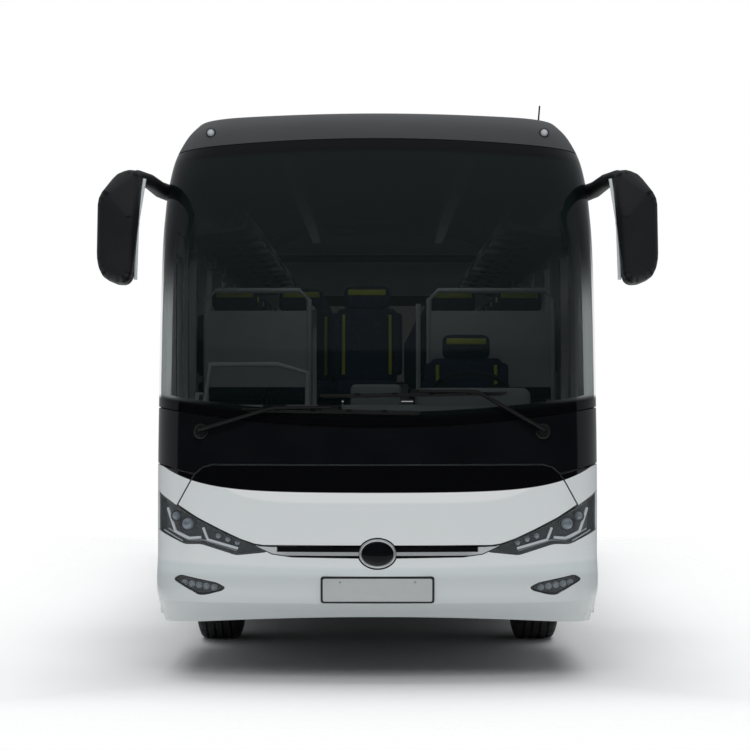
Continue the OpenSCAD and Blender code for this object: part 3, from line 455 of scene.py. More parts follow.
def grown(outline, out):
    """An outline moved outwards by out along its corners' bisectors."""
    area = sum(b.x * c.y - c.x * b.y for _, b, c in corners(outline))
    turn = 1 if area > 0 else -1
    moved = []
    for a, b, c in corners(outline):
        d1, d2 = (b - a).normalized(), (c - b).normalized()
        n1, n2 = Vector((d1.y, -d1.x)) * turn, Vector((d2.y, -d2.x)) * turn
        mid = (n1 + n2).normalized()
        moved.append(tuple(b + mid * (out / max(mid.dot(n1), 0.4))))
    return moved


def rounded(outline, radius, steps=5):
    """An outline with every corner rounded by up to radius."""
    out = []
    for a, b, c in corners(outline):
        cut = min(radius, (a - b).length * 0.45, (c - b).length * 0.45)
        p, q = b + (a - b).normalized() * cut, b + (c - b).normalized() * cut
        for k in range(steps + 1):
            t = k / steps
            out.append(tuple(p * (1 - t) ** 2 + b * (2 * t * (1 - t)) + q * t**2))
    return out


def oblong(x0, z0, x1, z1, radius):
    """A rectangle with round corners."""
    return rounded([(x0, z0), (x1, z0), (x1, z1), (x0, z1)], radius)


def mirrored(half):
    """A half outline on the other side, in the opposite order."""
    return [(-x, z) for x, z in reversed(half)]


def both(fill):
    """Fills a bmesh with a shape of one side and its mirror image."""

    def run(bm):
        fill(bm)
        bmesh.ops.mirror(bm, geom=bm.verts[:] + bm.edges[:] + bm.faces[:], axis="X", merge_dist=0.0)
        bmesh.ops.recalc_face_normals(bm, faces=bm.faces)

    return run


def box(bm, low, high, bevel=0.0, segments=2):
    """A box between two corners with rounded edges."""
    low, high = Vector(low), Vector(high)
    made = bmesh.ops.create_cube(bm, size=1)["verts"]
    bmesh.ops.scale(bm, vec=high - low, verts=made)
    bmesh.ops.translate(bm, vec=(low + high) / 2, verts=made)
    if bevel:
        edges = list({e for v in made for e in v.link_edges})
        bmesh.ops.bevel(bm, geom=edges, offset=bevel, segments=segments, profile=0.5, affect="EDGES",
                        material=-1)


def rod(bm, path, radius, sides=10, flat=1.0):
    """A round bar along a path, its section squeezed by flat; radius may vary along it."""
    path = [Vector(p) for p in path]
    radii = radius if isinstance(radius, (list, tuple)) else [radius] * len(path)
    rings = []
    side = None
    for i, p in enumerate(path):
        heading = (path[min(i + 1, len(path) - 1)] - path[max(i - 1, 0)]).normalized()
        if side is None:
            side = heading.cross(Vector((0, 0, 1)) if abs(heading.z) < 0.9 else Vector((0, 1, 0)))
        side = (side - heading * side.dot(heading)).normalized()
        turn = Matrix((side, heading.cross(side), heading)).transposed().to_4x4()
        ring = bmesh.ops.create_circle(bm, segments=sides, radius=radii[i])["verts"]
        bmesh.ops.scale(bm, vec=(1, flat, 1), verts=ring)
        bmesh.ops.transform(bm, matrix=Matrix.Translation(p) @ turn, verts=ring)
        rings.append(ring)
    for a, b in zip(rings, rings[1:]):
        edges = [e for ring in (a, b) for e in {e for v in ring for e in v.link_edges}
                 if e.verts[0] in ring and e.verts[1] in ring]
        bmesh.ops.bridge_loops(bm, edges=edges)
    for ring in (rings[0], rings[-1]):
        bmesh.ops.contextual_create(bm, geom=ring)


def lathe(bm, profile, centre, axis, steps):
    """A closed profile of (radius, distance along the axis) turned about an axis through centre."""
    pick = {"X": lambda r, d: (d, 0, r), "Y": lambda r, d: (r, d, 0), "Z": lambda r, d: (r, 0, d)}[axis]
    verts = [bm.verts.new(pick(r, d)) for r, d in profile]
    edges = [bm.edges.new(pair) for pair in zip(verts, verts[1:] + verts[:1])]
    line = Vector([float(axis == a) for a in "XYZ"])
    bmesh.ops.spin(bm, geom=verts + edges, cent=(0, 0, 0), axis=line, angle=math.tau, steps=steps,
                   use_merge=True, use_duplicate=False)
    bmesh.ops.remove_doubles(bm, verts=bm.verts, dist=WELD / 10)
    bmesh.ops.translate(bm, vec=centre, verts=bm.verts)
    bmesh.ops.recalc_face_normals(bm, faces=bm.faces)


def placed(fill, matrix):
    """fill, moved by a matrix."""

    def run(bm):
        fill(bm)
        bmesh.ops.transform(bm, matrix=matrix, verts=bm.verts)

    return run


# Materials

# Heights on the front at its middle: black edge, foot of the bevel below it, bumper step and crease
BLACK_FOOT, BEVEL_FOOT, BUMPER_STEP, BUMPER_CREASE = 1.068, 1.003, 0.63, 0.446
# How far the windscreen's foot rises and its head drops from the middle to the side
FOOT_RISE, HEAD_DROP = 0.113, 0.054


def paint_white(sh):
    paint = bpy.context.scene.coach_paint
    cloud = sh.noise(1.3, 3)
    dust = (1 - sh.z.ramp(0.25, 0.9)) * sh.noise(6.0, 4).ramp(0.35, 0.75) * 0.14
    base = sh.mix(tuple(paint.white), tuple(c * 0.96 for c in paint.white), cloud)
    sh.set(Base_Color=sh.mix(base, (0.42, 0.41, 0.38), dust), Roughness=0.2 + cloud * 0.12 + dust * 0.4,
           Coat_Weight=0.6, Coat_Roughness=0.05)


def lid_paint(sh):
    """White below the curved edge, gloss black above it, with pressed bevels in the white. The bevel and the
    band above the bumper step are painted lighter as painted highlight, and the white below the step is
    painted darker as painted shade.
    """
    paint = bpy.context.scene.coach_paint
    side = abs(sh.x) / HALF_WIDTH
    top = BLACK_FOOT + side * side * 0.02 + side**5.5 * 0.15
    black = (sh.z - top).ramp(-0.002, 0.002)
    foot = BEVEL_FOOT + (abs(sh.x) / 0.88) ** 6 * 0.09
    bevel = (sh.z - foot).smallest(top - foot).largest(0.0)
    lower = (sh.z - BUMPER_STEP - side * side * 0.03).largest(0.0).smallest(0.1)
    crease = (BUMPER_CREASE - sh.z).largest(0.0)
    # How far below the bumper step; the white there is darkened as painted shade
    painted_shade_below_step = (BUMPER_STEP - sh.z).largest(0.0)
    cloud = sh.noise(1.3, 3)
    # Painted highlight: the white is made lighter on the bevel and above the bumper step
    painted_highlight = (bevel * 80).smallest(1.0).largest(lower.ramp(0.0, 0.03) * 0.5)
    white = sh.mix(tuple(paint.white), tuple(c * 0.96 for c in paint.white), cloud)
    white = sh.mix(white, (0.97, 0.98, 0.98), painted_highlight)
    white = sh.mix(white, (0.55, 0.58, 0.58), painted_shade_below_step.ramp(0.0, 0.05) * 0.4)
    sh.set(Base_Color=sh.mix(white, tuple(paint.black), black), Roughness=0.2 + cloud * 0.1 - black * 0.13,
           Coat_Weight=0.5, Coat_Roughness=0.05)
    sh.bump(bevel * -0.25 - lower * 0.1 - crease * 0.35, 1.0, 1.0)


def gloss_black(sh):
    paint = bpy.context.scene.coach_paint
    smear = sh.noise(3.0, 4)
    sh.set(Base_Color=sh.mix(tuple(paint.black), (0.008, 0.009, 0.011), smear), Roughness=0.06 + smear * 0.06,
           Specular_IOR_Level=0.35)


def cap_grey(sh):
    paint = bpy.context.scene.coach_paint
    speck = sh.noise(420.0, 2)
    sh.set(Base_Color=sh.mix(tuple(paint.cap), tuple(c * 1.25 for c in paint.cap), sh.noise(2.0, 3)),
           Roughness=0.36 + speck * 0.1)
    sh.bump(speck, 0.12, 0.0006)


def screen_glass(sh):
    """Clear tinted glass with a dark printed border along the foot, head and pillars, made darker towards its
    head by painted shade.
    """
    paint = bpy.context.scene.coach_paint
    side = sh.x / HALF_WIDTH
    foot = 1 - (sh.z - side * side * FOOT_RISE).ramp(1.47, 1.52)
    head = (sh.z + side * side * HEAD_DROP).ramp(3.02, 3.06)
    # Painted shade: the glass grows darker and less clear towards its head
    painted_shade_top = (sh.z + side * side * HEAD_DROP).ramp(2.2, 2.9) * 0.5
    edge = abs(sh.x).ramp(1.12, 1.16)
    clear = sh.z.ramp(1.58, 1.62) * (1 - sh.z.ramp(2.05, 2.6))
    pillar = edge * (1 - clear)
    printed = foot.largest(head).largest(pillar * 0.55)
    smear = sh.noise(2.2, 4)
    tint = paint.screen_tint - edge * clear * 0.28 + smear * 0.03 + painted_shade_top
    sh.set(Base_Color=sh.mix((0.006, 0.010, 0.010), (0.003, 0.003, 0.004), printed),
           Roughness=0.015 + smear * 0.02, Alpha=tint.largest(printed), Specular_IOR_Level=0.25)


def side_glass(sh):
    """Dark tinted glass with a printed border along its foot and head."""
    paint = bpy.context.scene.coach_paint
    smear = sh.noise(1.6, 4)
    edge = (1 - sh.z.ramp(1.33, 1.35)).largest(sh.z.ramp(2.55, 2.57))
    sh.set(Base_Color=sh.mix((0.010, 0.012, 0.013), (0.004, 0.004, 0.005), smear),
           Roughness=0.02 + smear * 0.04, Alpha=(paint.side_tint + smear * 0.04).largest(edge))


def clear_lens(sh):
    smear = sh.noise(30.0, 2)
    sh.set(Base_Color=sh.mix((0.75, 0.80, 0.83), (0.6, 0.66, 0.7), smear), Roughness=0.02 + smear * 0.03,
           Alpha=0.03 + smear * 0.03, Specular_IOR_Level=0.3)


def tail_red(sh):
    grid = (sh.x * 160).frac() * (sh.z * 160).frac()
    sh.set(Base_Color=sh.mix((0.30, 0.006, 0.008), (0.48, 0.012, 0.012), grid),
           Roughness=0.08 + grid * 0.12,
           Coat_Weight=0.8)


def amber(sh):
    grid = (sh.x * 200).frac() * (sh.z * 200).frac()
    sh.set(Base_Color=sh.mix((0.75, 0.20, 0.01), (0.85, 0.32, 0.02), grid), Roughness=0.12 + grid * 0.15)


def chrome(sh):
    smear = sh.noise(7.0, 3)
    sh.set(Base_Color=sh.mix((0.72, 0.74, 0.76), (0.60, 0.62, 0.64), smear),
           Metallic=0.6, Roughness=0.07 + smear * 0.08)


def strip_trim(sh):
    """Gloss black with a bright band along its middle, widening to a bright tip by the lamps."""
    band = sh.z.ramp(0.716, 0.718) * (1 - sh.z.ramp(0.736, 0.738))
    bright = band.largest(abs(sh.x).ramp(0.56, 0.57))
    smear = sh.noise(7.0, 3)
    tip = abs(sh.x).ramp(0.50, 0.58)
    sh.set(Base_Color=sh.mix((0.004, 0.004, 0.005), (0.72, 0.74, 0.76), bright),
           Metallic=bright * (0.45 - tip * 0.25),
           Roughness=0.08 + smear * 0.08)


def dark_chrome(sh):
    smear = sh.noise(9.0, 3)
    sh.set(Base_Color=sh.mix((0.10, 0.105, 0.11), (0.16, 0.165, 0.17), smear),
           Metallic=1.0, Roughness=0.16 + smear * 0.1)


def plate_grey(sh):
    smear = sh.noise(9.0, 4)
    sh.set(Base_Color=sh.mix((0.50, 0.52, 0.52), (0.56, 0.58, 0.58), smear), Roughness=0.35 + smear * 0.15)


def black_plastic(sh):
    grain = sh.cells(380.0)
    cloud = sh.noise(5.0, 3)
    sh.set(Base_Color=sh.mix((0.010, 0.010, 0.011), (0.020, 0.020, 0.021), cloud),
           Roughness=0.42 + cloud * 0.12)
    sh.bump(grain, 0.25, 0.0008)


def wiper_coat(sh):
    cloud = sh.noise(9.0, 3)
    sh.set(Base_Color=sh.mix((0.003, 0.003, 0.003), (0.007, 0.007, 0.007), cloud),
           Roughness=0.36 + cloud * 0.1,
           Specular_IOR_Level=0.3)
    sh.bump(sh.noise(260.0, 2), 0.15, 0.0004)


def rubber(sh):
    cloud = sh.noise(14.0, 4)
    sh.set(Base_Color=sh.mix((0.010, 0.010, 0.010), (0.022, 0.021, 0.020), cloud),
           Roughness=0.68 + cloud * 0.2)
    sh.bump(sh.noise(180.0, 3), 0.2, 0.0006)


def tyre(sh):
    cloud = sh.noise(10.0, 4)
    dust = sh.noise(3.0, 5).ramp(0.45, 0.75) * 0.5
    black = sh.mix((0.010, 0.010, 0.010), (0.020, 0.020, 0.020), cloud)
    sh.set(Base_Color=sh.mix(black, (0.06, 0.055, 0.05), dust), Roughness=0.7 + cloud * 0.2)
    sh.bump(sh.noise(240.0, 3), 0.2, 0.0006)


def rim_silver(sh):
    cloud = sh.noise(12.0, 4)
    brush = sh.noise(220.0, 2)
    sh.set(Base_Color=sh.mix((0.50, 0.51, 0.52), (0.62, 0.63, 0.64), cloud),
           Metallic=0.85, Roughness=0.3 + cloud * 0.15)
    sh.bump(brush, 0.06, 0.0004)


def chassis_black(sh):
    cloud = sh.noise(5.0, 5)
    grit = sh.noise(60.0, 4)
    sh.set(Base_Color=sh.mix((0.008, 0.008, 0.009), (0.030, 0.028, 0.026), cloud),
           Roughness=0.55 + grit * 0.3)
    sh.bump(grit, 0.3, 0.0015)


def cast_steel(sh):
    cloud = sh.noise(9.0, 5)
    grit = sh.noise(90.0, 4)
    sh.set(Base_Color=sh.mix((0.09, 0.09, 0.095), (0.15, 0.145, 0.14), cloud),
           Metallic=0.7, Roughness=0.45 + grit * 0.25)
    sh.bump(grit, 0.3, 0.001)


def floor_grey(sh):
    fleck = sh.cells(140.0).ramp(0.1, 0.45)
    cloud = sh.noise(3.0, 4)
    sh.set(Base_Color=sh.mix((0.07, 0.072, 0.078), (0.12, 0.124, 0.13), fleck * cloud),
           Roughness=0.6 + cloud * 0.2)


def cabin_plastic(sh):
    grain = sh.cells(300.0)
    cloud = sh.noise(3.0, 4)
    sh.set(Base_Color=sh.mix((0.22, 0.25, 0.255), (0.29, 0.32, 0.325), cloud),
           Roughness=0.55 + cloud * 0.15)
    sh.bump(grain, 0.2, 0.0006)


def lining(sh):
    weave = sh.noise(240.0, 3)
    cloud = sh.noise(2.0, 3)
    sh.set(Base_Color=sh.mix((0.20, 0.21, 0.215), (0.27, 0.28, 0.285), cloud), Roughness=0.8 + weave * 0.15)
    sh.bump(weave, 0.3, 0.001)


def guard_steel(sh):
    cloud = sh.noise(8.0, 3)
    sh.set(Base_Color=sh.mix((0.42, 0.45, 0.46), (0.52, 0.55, 0.56), cloud), Roughness=0.32 + cloud * 0.15)


def pillar_trim(sh):
    """Pale lining beside the windscreen, dark at its head and foot."""
    pale = sh.z.ramp(1.56, 1.62) * (1 - sh.z.ramp(2.1, 2.6))
    cloud = sh.noise(6.0, 3)
    sh.set(Base_Color=sh.mix((0.008, 0.008, 0.009), (0.62, 0.66, 0.66), pale), Roughness=0.5 + cloud * 0.2)


def seat_cloth(sh):
    """Dark blue weave with small figures scattered over it."""
    weave = (sh.x * 900).sin() * (sh.z * 900).sin()
    cloud = sh.noise(8.0, 4)
    figure = sh.cells(34.0).ramp(0.34, 0.14)
    blue = sh.mix((0.012, 0.018, 0.045), (0.022, 0.03, 0.07), cloud)
    sh.set(Base_Color=sh.mix(blue, (0.05, 0.08, 0.13), figure * 0.5), Roughness=0.82 + cloud * 0.1)
    sh.bump(weave, 0.25, 0.0006)


def seat_trim(sh):
    weave = (sh.x * 900).sin() * (sh.z * 900).sin()
    cloud = sh.noise(9.0, 3)
    sh.set(Base_Color=sh.mix((0.36, 0.42, 0.05), (0.46, 0.52, 0.08), cloud), Roughness=0.75 + cloud * 0.15)
    sh.bump(weave, 0.2, 0.0006)


def lamp_white(sh):
    ribs = (sh.x * 400).frac()
    sh.set(Base_Color=sh.mix((0.66, 0.69, 0.71), (0.5, 0.53, 0.56), ribs), Roughness=0.15 + ribs * 0.2,
           Emission_Color=sh.mix((0.85, 0.92, 1.0), (0.7, 0.8, 0.95), ribs), Emission_Strength=0.06)


def lens_glass(sh):
    ripple = sh.noise(60.0, 2)
    sh.set(Base_Color=sh.mix((0.10, 0.13, 0.16), (0.22, 0.26, 0.30), ripple),
           Roughness=0.03 + ripple * 0.04,
           Coat_Weight=1.0, Specular_IOR_Level=1.0)


def mirror_glass(sh):
    smear = sh.noise(4.0, 3)
    sh.set(Base_Color=sh.mix((0.72, 0.75, 0.76), (0.66, 0.69, 0.70), smear),
           Metallic=1.0, Roughness=0.02 + smear * 0.03)


def screen_dark(sh):
    glow = sh.noise(18.0, 2)
    sh.set(Base_Color=sh.mix((0.004, 0.005, 0.006), (0.012, 0.014, 0.016), glow),
           Roughness=0.12 + glow * 0.1)


# Half sizes of the ground under the coach
GROUND_X, GROUND_Y = 1.3, 6.0


def pale_floor(sh):
    """Pale ground that fades out a little way from the coach. It glows from a little way out but not near or
    under the coach: painted light that leaves the ground darker close to the coach.
    """
    cloud = sh.noise(0.6, 3)
    away = (abs(sh.x) - GROUND_X).largest(abs(sh.y) - GROUND_Y)
    # Painted light in the emission: the ground glows away from the coach and not close to it
    sh.set(Base_Color=sh.mix((0.93, 0.93, 0.93), (0.90, 0.90, 0.90), cloud), Roughness=0.85 + cloud * 0.1,
           Alpha=1 - away.ramp(0.3, 2.6), Specular_IOR_Level=0.1,
           Emission_Color=sh.mix((0.0, 0.0, 0.0), (1.0, 1.0, 1.0), away.ramp(-0.2, 1.2)),
           Emission_Strength=0.2)


def dark_card(sh):
    cloud = sh.noise(0.4, 2)
    sh.set(Base_Color=sh.mix((0.012, 0.013, 0.014), (0.02, 0.022, 0.023), cloud),
           Roughness=0.9 + cloud * 0.05,
           Specular_IOR_Level=0.0)


FINISHES = {f.__name__: f for f in (
    paint_white, lid_paint, gloss_black, cap_grey, screen_glass, side_glass, clear_lens, tail_red, amber,
    chrome, strip_trim, dark_chrome, plate_grey, black_plastic, wiper_coat, rubber, tyre, rim_silver,
    chassis_black, cast_steel, floor_grey, cabin_plastic, lining, guard_steel, pillar_trim, seat_cloth,
    seat_trim, lamp_white, lens_glass, mirror_glass, screen_dark, pale_floor, dark_card)}
SEE_THROUGH = ("screen_glass", "side_glass", "clear_lens")
FLAPS = [f"luggage_flap_{side}_{i}" for side in ("left", "right") for i in (1, 2, 3)]
# Frame nodes by finish; a node that a piece stands for has one too
NODES_OF = {
    "paint_white": ["wall_left", "wall_right", "skirt_left", "skirt_right", "roof", "roof_pod", "entry_door",
                    "rear_wall", "rear_cap", "rear_bumper", "engine_lid", "front_bumper", *FLAPS],
    "lid_paint": ["service_lid"],
    "gloss_black": ["cowl"],
    "cap_grey": ["front_cap"],
    "screen_glass": ["windscreen"],
    "side_glass": ["window_panes"],
    "clear_lens": ["marker_lamps", "headlamps", "fog_lamps"],
    "tail_red": ["tail_lamps"],
    "chrome": ["front_trim"],
    "plate_grey": ["number_plate"],
    "black_plastic": ["steering_wheel", "mirrors", "wipers", "antenna"],
    "tyre": ["tyre_front_left", "tyre_front_right", "tyres_rear_left", "tyres_rear_right"],
    "rim_silver": ["rim_front_left", "rim_front_right", "rims_rear_left", "rims_rear_right"],
    "chassis_black": ["underframe", "front_axle", "rear_axle"],
    "cast_steel": ["engine", "knuckle_left", "knuckle_right"],
    "floor_grey": ["floor"],
    "cabin_plastic": ["dashboard"],
    "lining": ["luggage_racks"],
    "guard_steel": ["cabin_guards"],
    "pillar_trim": ["front_frame"],
    "seat_cloth": ["crew_seats", "seats_left", "seats_right"],
}
NODE_FINISH = {node: name for name, nodes in NODES_OF.items() for node in nodes}
# Curved nodes that show as a merged, smooth-shaded copy
SMOOTHED = ("wall_left", "wall_right", "roof", "roof_pod", "entry_door", "window_panes", "front_axle",
            "rear_axle", "steering_wheel", "cabin_guards", "marker_lamps", "knuckle_left", "knuckle_right",
            "front_frame")


# Steps


class COACH_OT_materials(bpy.types.Operator):
    """Makes every material and gives the frame's nodes their finishes"""

    bl_idname = "coach.materials"
    bl_label = "Materials"

    def execute(self, context):
        for name, fill in FINISHES.items():
            shader = Shader("coach " + name)
            fill(shader)
            if name in SEE_THROUGH:
                shader.material.surface_render_method = "BLENDED"
        for name, node in frame["nodes"].items():
            node.data.materials.clear()
            node.data.materials.append(finish(NODE_FINISH[name]))
        return {"FINISHED"}


class COACH_OT_smooth(bpy.types.Operator):
    """Puts a merged, smooth-shaded copy in place of curved frame nodes"""

    bl_idname = "coach.smooth"
    bl_label = "Smooth curved panels"

    def execute(self, context):
        for name in SMOOTHED:
            node = frame["nodes"][name]
            bm = bmesh.new()
            bm.from_mesh(node.data)
            bmesh.ops.remove_doubles(bm, verts=bm.verts, dist=WELD)
            bmesh.ops.dissolve_limit(bm, angle_limit=math.radians(0.4), verts=bm.verts, edges=bm.edges)
            piece(name + "_smooth", bm, NODE_FINISH[name], body_of(node)[0], replaces=[name], angle=24)
        return {"FINISHED"}


# Stage

# The bent dark card ahead of the coach, which shows only in reflections: radius, half angle in
# radians, middle height and half height
CARD_RADIUS, CARD_TURN, CARD_MIDDLE, CARD_HALF = 26, 1.25, 5.0, 7.0
FLOOR_HALF = 60
# Side of the photo and how far its view is shifted, in pixels
PICTURE, SHIFT = 750, (-2.5, 23)


class COACH_OT_stage(bpy.types.Operator):
    """Sets the floor, the lights and the camera at the photo's angle"""

    bl_idname = "coach.stage"
    bl_label = "Stage"

    def execute(self, context):
        scene, stage = context.scene, context.scene.coach_stage
        scene.view_settings.view_transform = "Standard"
        bm = bmesh.new()
        bmesh.ops.create_grid(bm, x_segments=1, y_segments=1, size=FLOOR_HALF)
        floor = stood("floor", bm, "pale_floor")
        card = self.card()
        self.world(scene, stage.sky)
        self.light("top", (0, 1.4, 9.0), 0, 13, 16, stage.top)
        self.light("front", (0, -14.5, 8.2), math.radians(53), 10, 6, stage.front)
        for y in (-4.6, -2.6, 0.0, 3.0):
            self.light(f"cabin {y}", (0, y, 3.05), 0, 1.2, 0.8, stage.cabin)
        self.camera(scene, stage)
        return {"FINISHED"}

    def card(self):
        bm = bmesh.new()
        bmesh.ops.create_grid(bm, x_segments=30, y_segments=1, size=1)
        for vert in bm.verts:
            turn = vert.co.x * CARD_TURN
            height = CARD_MIDDLE + vert.co.y * CARD_HALF
            vert.co = (CARD_RADIUS * math.sin(turn), -CARD_RADIUS * math.cos(turn), height)
        card = stood("card", bm, "dark_card")
        card.visible_shadow = False
        card.visible_diffuse = False
        card.visible_camera = False
        return card

    def camera(self, scene, stage):
        camera = bpy.data.cameras.new("camera")
        camera.lens = stage.lens
        camera.sensor_width = 36
        camera.clip_end = 200
        camera.shift_x, camera.shift_y = (pixels / PICTURE for pixels in SHIFT)
        view = bpy.data.objects.new("camera", camera)
        view.location = (0, -stage.distance, stage.height)
        view.rotation_euler = (math.pi / 2, 0, 0)
        scene.collection.objects.link(view)
        scene.camera = view

    def light(self, name, place, tilt, width, depth, power):
        lamp = bpy.data.lights.new(name, "AREA")
        lamp.shape = "RECTANGLE"
        lamp.size, lamp.size_y, lamp.energy = width, depth, power
        obj = bpy.data.objects.new(name, lamp)
        obj.location = place
        obj.rotation_euler = (tilt, 0, 0)
        obj.visible_glossy = False
        bpy.context.scene.collection.objects.link(obj)

    def world(self, scene, sky):
        """White behind the coach, with a weaker even light on it."""
        world = bpy.data.worlds.new("studio")
        scene.world = world
        world.use_nodes = True
        tree = world.node_tree
        tree.nodes.clear()
        seen, even = (tree.nodes.new("ShaderNodeBackground") for _ in range(2))
        seen.inputs["Color"].default_value = (1, 1, 1, 1)
        seen.inputs["Strength"].default_value = 1.0
        even.inputs["Color"].default_value = (0.93, 0.97, 1.0, 1)
        even.inputs["Strength"].default_value = sky
        path = tree.nodes.new("ShaderNodeLightPath")
        mix = tree.nodes.new("ShaderNodeMixShader")
        out = tree.nodes.new("ShaderNodeOutputWorld")
        tree.links.new(path.outputs["Is Camera Ray"], mix.inputs[0])
        tree.links.new(even.outputs[0], mix.inputs[1])
        tree.links.new(seen.outputs[0], mix.inputs[2])
        tree.links.new(mix.outputs[0], out.inputs["Surface"])


# Front outlines, left half of the coach, as (x, z)
LID_TOP = [(0, 1.220), (0.930, 1.220), (0.985, 1.206), (1.030, 1.168), (1.060, 1.120), (1.130, 0.996)]
LID_FOOT = [(0.640, 0.775), (0, 0.775)]
LAMP_TIP = [(1.300, 1.105), (1.235, 1.047)]
LAMP_TOP = [(1.138, 0.987), (1.013, 0.917), (0.881, 0.851), (0.773, 0.802), (0.693, 0.775), (0.619, 0.737)]
LAMP_FOOT = [(0.795, 0.718), (0.996, 0.779), (1.090, 0.776), (1.300, 0.866)]
LAMP = LAMP_TIP + LAMP_TOP + LAMP_FOOT
FOG = [(1.158, 0.573), (1.117, 0.599), (0.904, 0.558), (0.859, 0.533), (0.877, 0.517), (0.967, 0.493),
       (1.010, 0.491)]
STRIP = [(0, 0.706), (0.480, 0.712), (0.590, 0.727), (0.612, 0.737), (0.680, 0.768), (0.600, 0.764),
         (0, 0.764)]
# Badge: middle height and half sizes of its oval. Plate: half width, foot and head
BADGE = (0.728, 0.104, 0.082)
PLATE = (0.315, 0.4525, 0.5975)
# Round marker lamps in the cap: distance from the middle, and height
MARKER = (0.985, 3.168)
# Cuts through the front skins run from ahead of the nose to these depths
AHEAD, BEHIND, LAMP_BACK = -6.1, -5.59, -5.54
LAMP_ROUND = 0.02
# Lines of the front shell by their distance up the middle
FOOT, BLACK_EDGE, SCREEN_FOOT, SCREEN_HEAD, CROWN_EDGE = (FRONT.at[i] for i in (0, 3, 4, 8, 13))
CAP_END = 4.3


def badge_oval(out, steps=48):
    """The badge's oval, grown by out."""
    z, half_x, half_z = BADGE
    turns = [k * math.tau / steps for k in range(steps)]
    return [((half_x + out) * math.cos(turn), z + (half_z + out) * math.sin(turn)) for turn in turns]


def whole(half, out):
    """A closed outline from its left half, grown by out."""
    ring = half + mirrored(half)[1:-1]
    return grown(ring, out) if out else ring


def lid_outline(out=0.0):
    """The service lid's outline, which follows the headlamps, grown by out."""
    lamp_edge = [(x, z + GAP) for x, z in LAMP_TOP if 0.68 < x < 1.13]
    return whole(LID_TOP + lamp_edge + LID_FOOT, out)


def lamp_cut(outline, out, back):
    """Fills a bmesh with the cut for a lamp on each side."""
    return both(cutter(grown(rounded(outline, LAMP_ROUND), out), AHEAD, back))


def plate_outline(out):
    """The number plate's outline, grown by out."""
    half, z0, z1 = PLATE
    return oblong(-half - out, z0 - out, half + out, z1 + out, 0.018)


class COACH_OT_front(bpy.types.Operator):
    """Builds the smooth panels of the front: bumper, lid, cowl, windscreen and cap"""

    bl_idname = "coach.front"
    bl_label = "Front panels"

    def execute(self, context):
        half = GAP / 2
        lid_hole, badge_hole, strip_hole, plate_hole = (cutter(outline, AHEAD, BEHIND) for outline in (
            lid_outline(GAP), badge_oval(GAP), whole(STRIP, 0.006), plate_outline(0.004)))
        bm = panel(FRONT, FOOT, BLACK_EDGE - half, 34)
        trimmed(bm, [lid_hole, badge_hole, lamp_cut(LAMP, 0.003, LAMP_BACK), lamp_cut(FOG, 0.003, BEHIND),
                     strip_hole, plate_hole])
        piece("front_bumper_skin", bm, "lid_paint", replaces=["front_bumper"])

        bm = panel(FRONT, FRONT.at[1], SCREEN_FOOT, 34)
        trimmed(bm, [cutter(lid_outline(), AHEAD, BEHIND)], "INTERSECT")
        trimmed(bm, [badge_hole])
        piece("service_lid_skin", bm, "lid_paint", "service_lid", ["service_lid"])

        bm = panel(FRONT, BLACK_EDGE + half, SCREEN_FOOT - half, 16)
        trimmed(bm, [lid_hole])
        piece("cowl_skin", bm, "gloss_black", replaces=["cowl"])

        bm = panel(FRONT, SCREEN_FOOT + half, SCREEN_HEAD - half, 44)
        piece("windscreen_glass", bm, "screen_glass", replaces=["windscreen"])

        bm = bmesh.new()
        for line in (SCREEN_FOOT, SCREEN_HEAD):
            rows = spread((line - 0.03, 0), (line + 0.03, 4))
            add(bm, lambda b: sheet(b, FRONT, ACROSS, rows, lift=-0.015, thick=0.004))
        piece("screen_seals", bm, "rubber")

        bm = panel(FRONT, SCREEN_HEAD + half, CROWN_EDGE - half, 44, CAP_END)
        bore = [(0.031, -6.0), (0.031, -5.0), (0, -5.0), (0, -6.0)]
        x, z = MARKER
        trimmed(bm, [placed(lambda b: lathe(b, bore, (0, 0, z), "Y", 32), Matrix.Translation((place, 0, 0)))
                     for place in (-x, x)])
        piece("front_cap_skin", bm, "cap_grey", replaces=["front_cap"])
        return {"FINISHED"}


# Tail outlines as (x0, z0, x1, z1, corner radius), and the tail lamps of the left side without it
ENGINE_LID = (-0.82, 0.69, 0.82, 1.56, 0.06)
LOUVRES = (-0.60, 0.92, 0.60, 1.46, 0.03)
GRIP = (-0.13, 0.745, 0.13, 0.815, 0.02)
REAR_WINDOW = (-0.9, 1.76, 0.9, 2.66, 0.09)
TAIL_LAMPS = [(1.08, 0.76, 1.195, 1.0), (1.08, 1.015, 1.195, 1.255), (1.08, 1.27, 1.195, 1.4)]
# Cuts through the tail skins run between these depths
TAIL_CUT = (5.57, 6.05)
REAR_CAP_END = 5.0
REAR_HEAD = REAR.at[7]


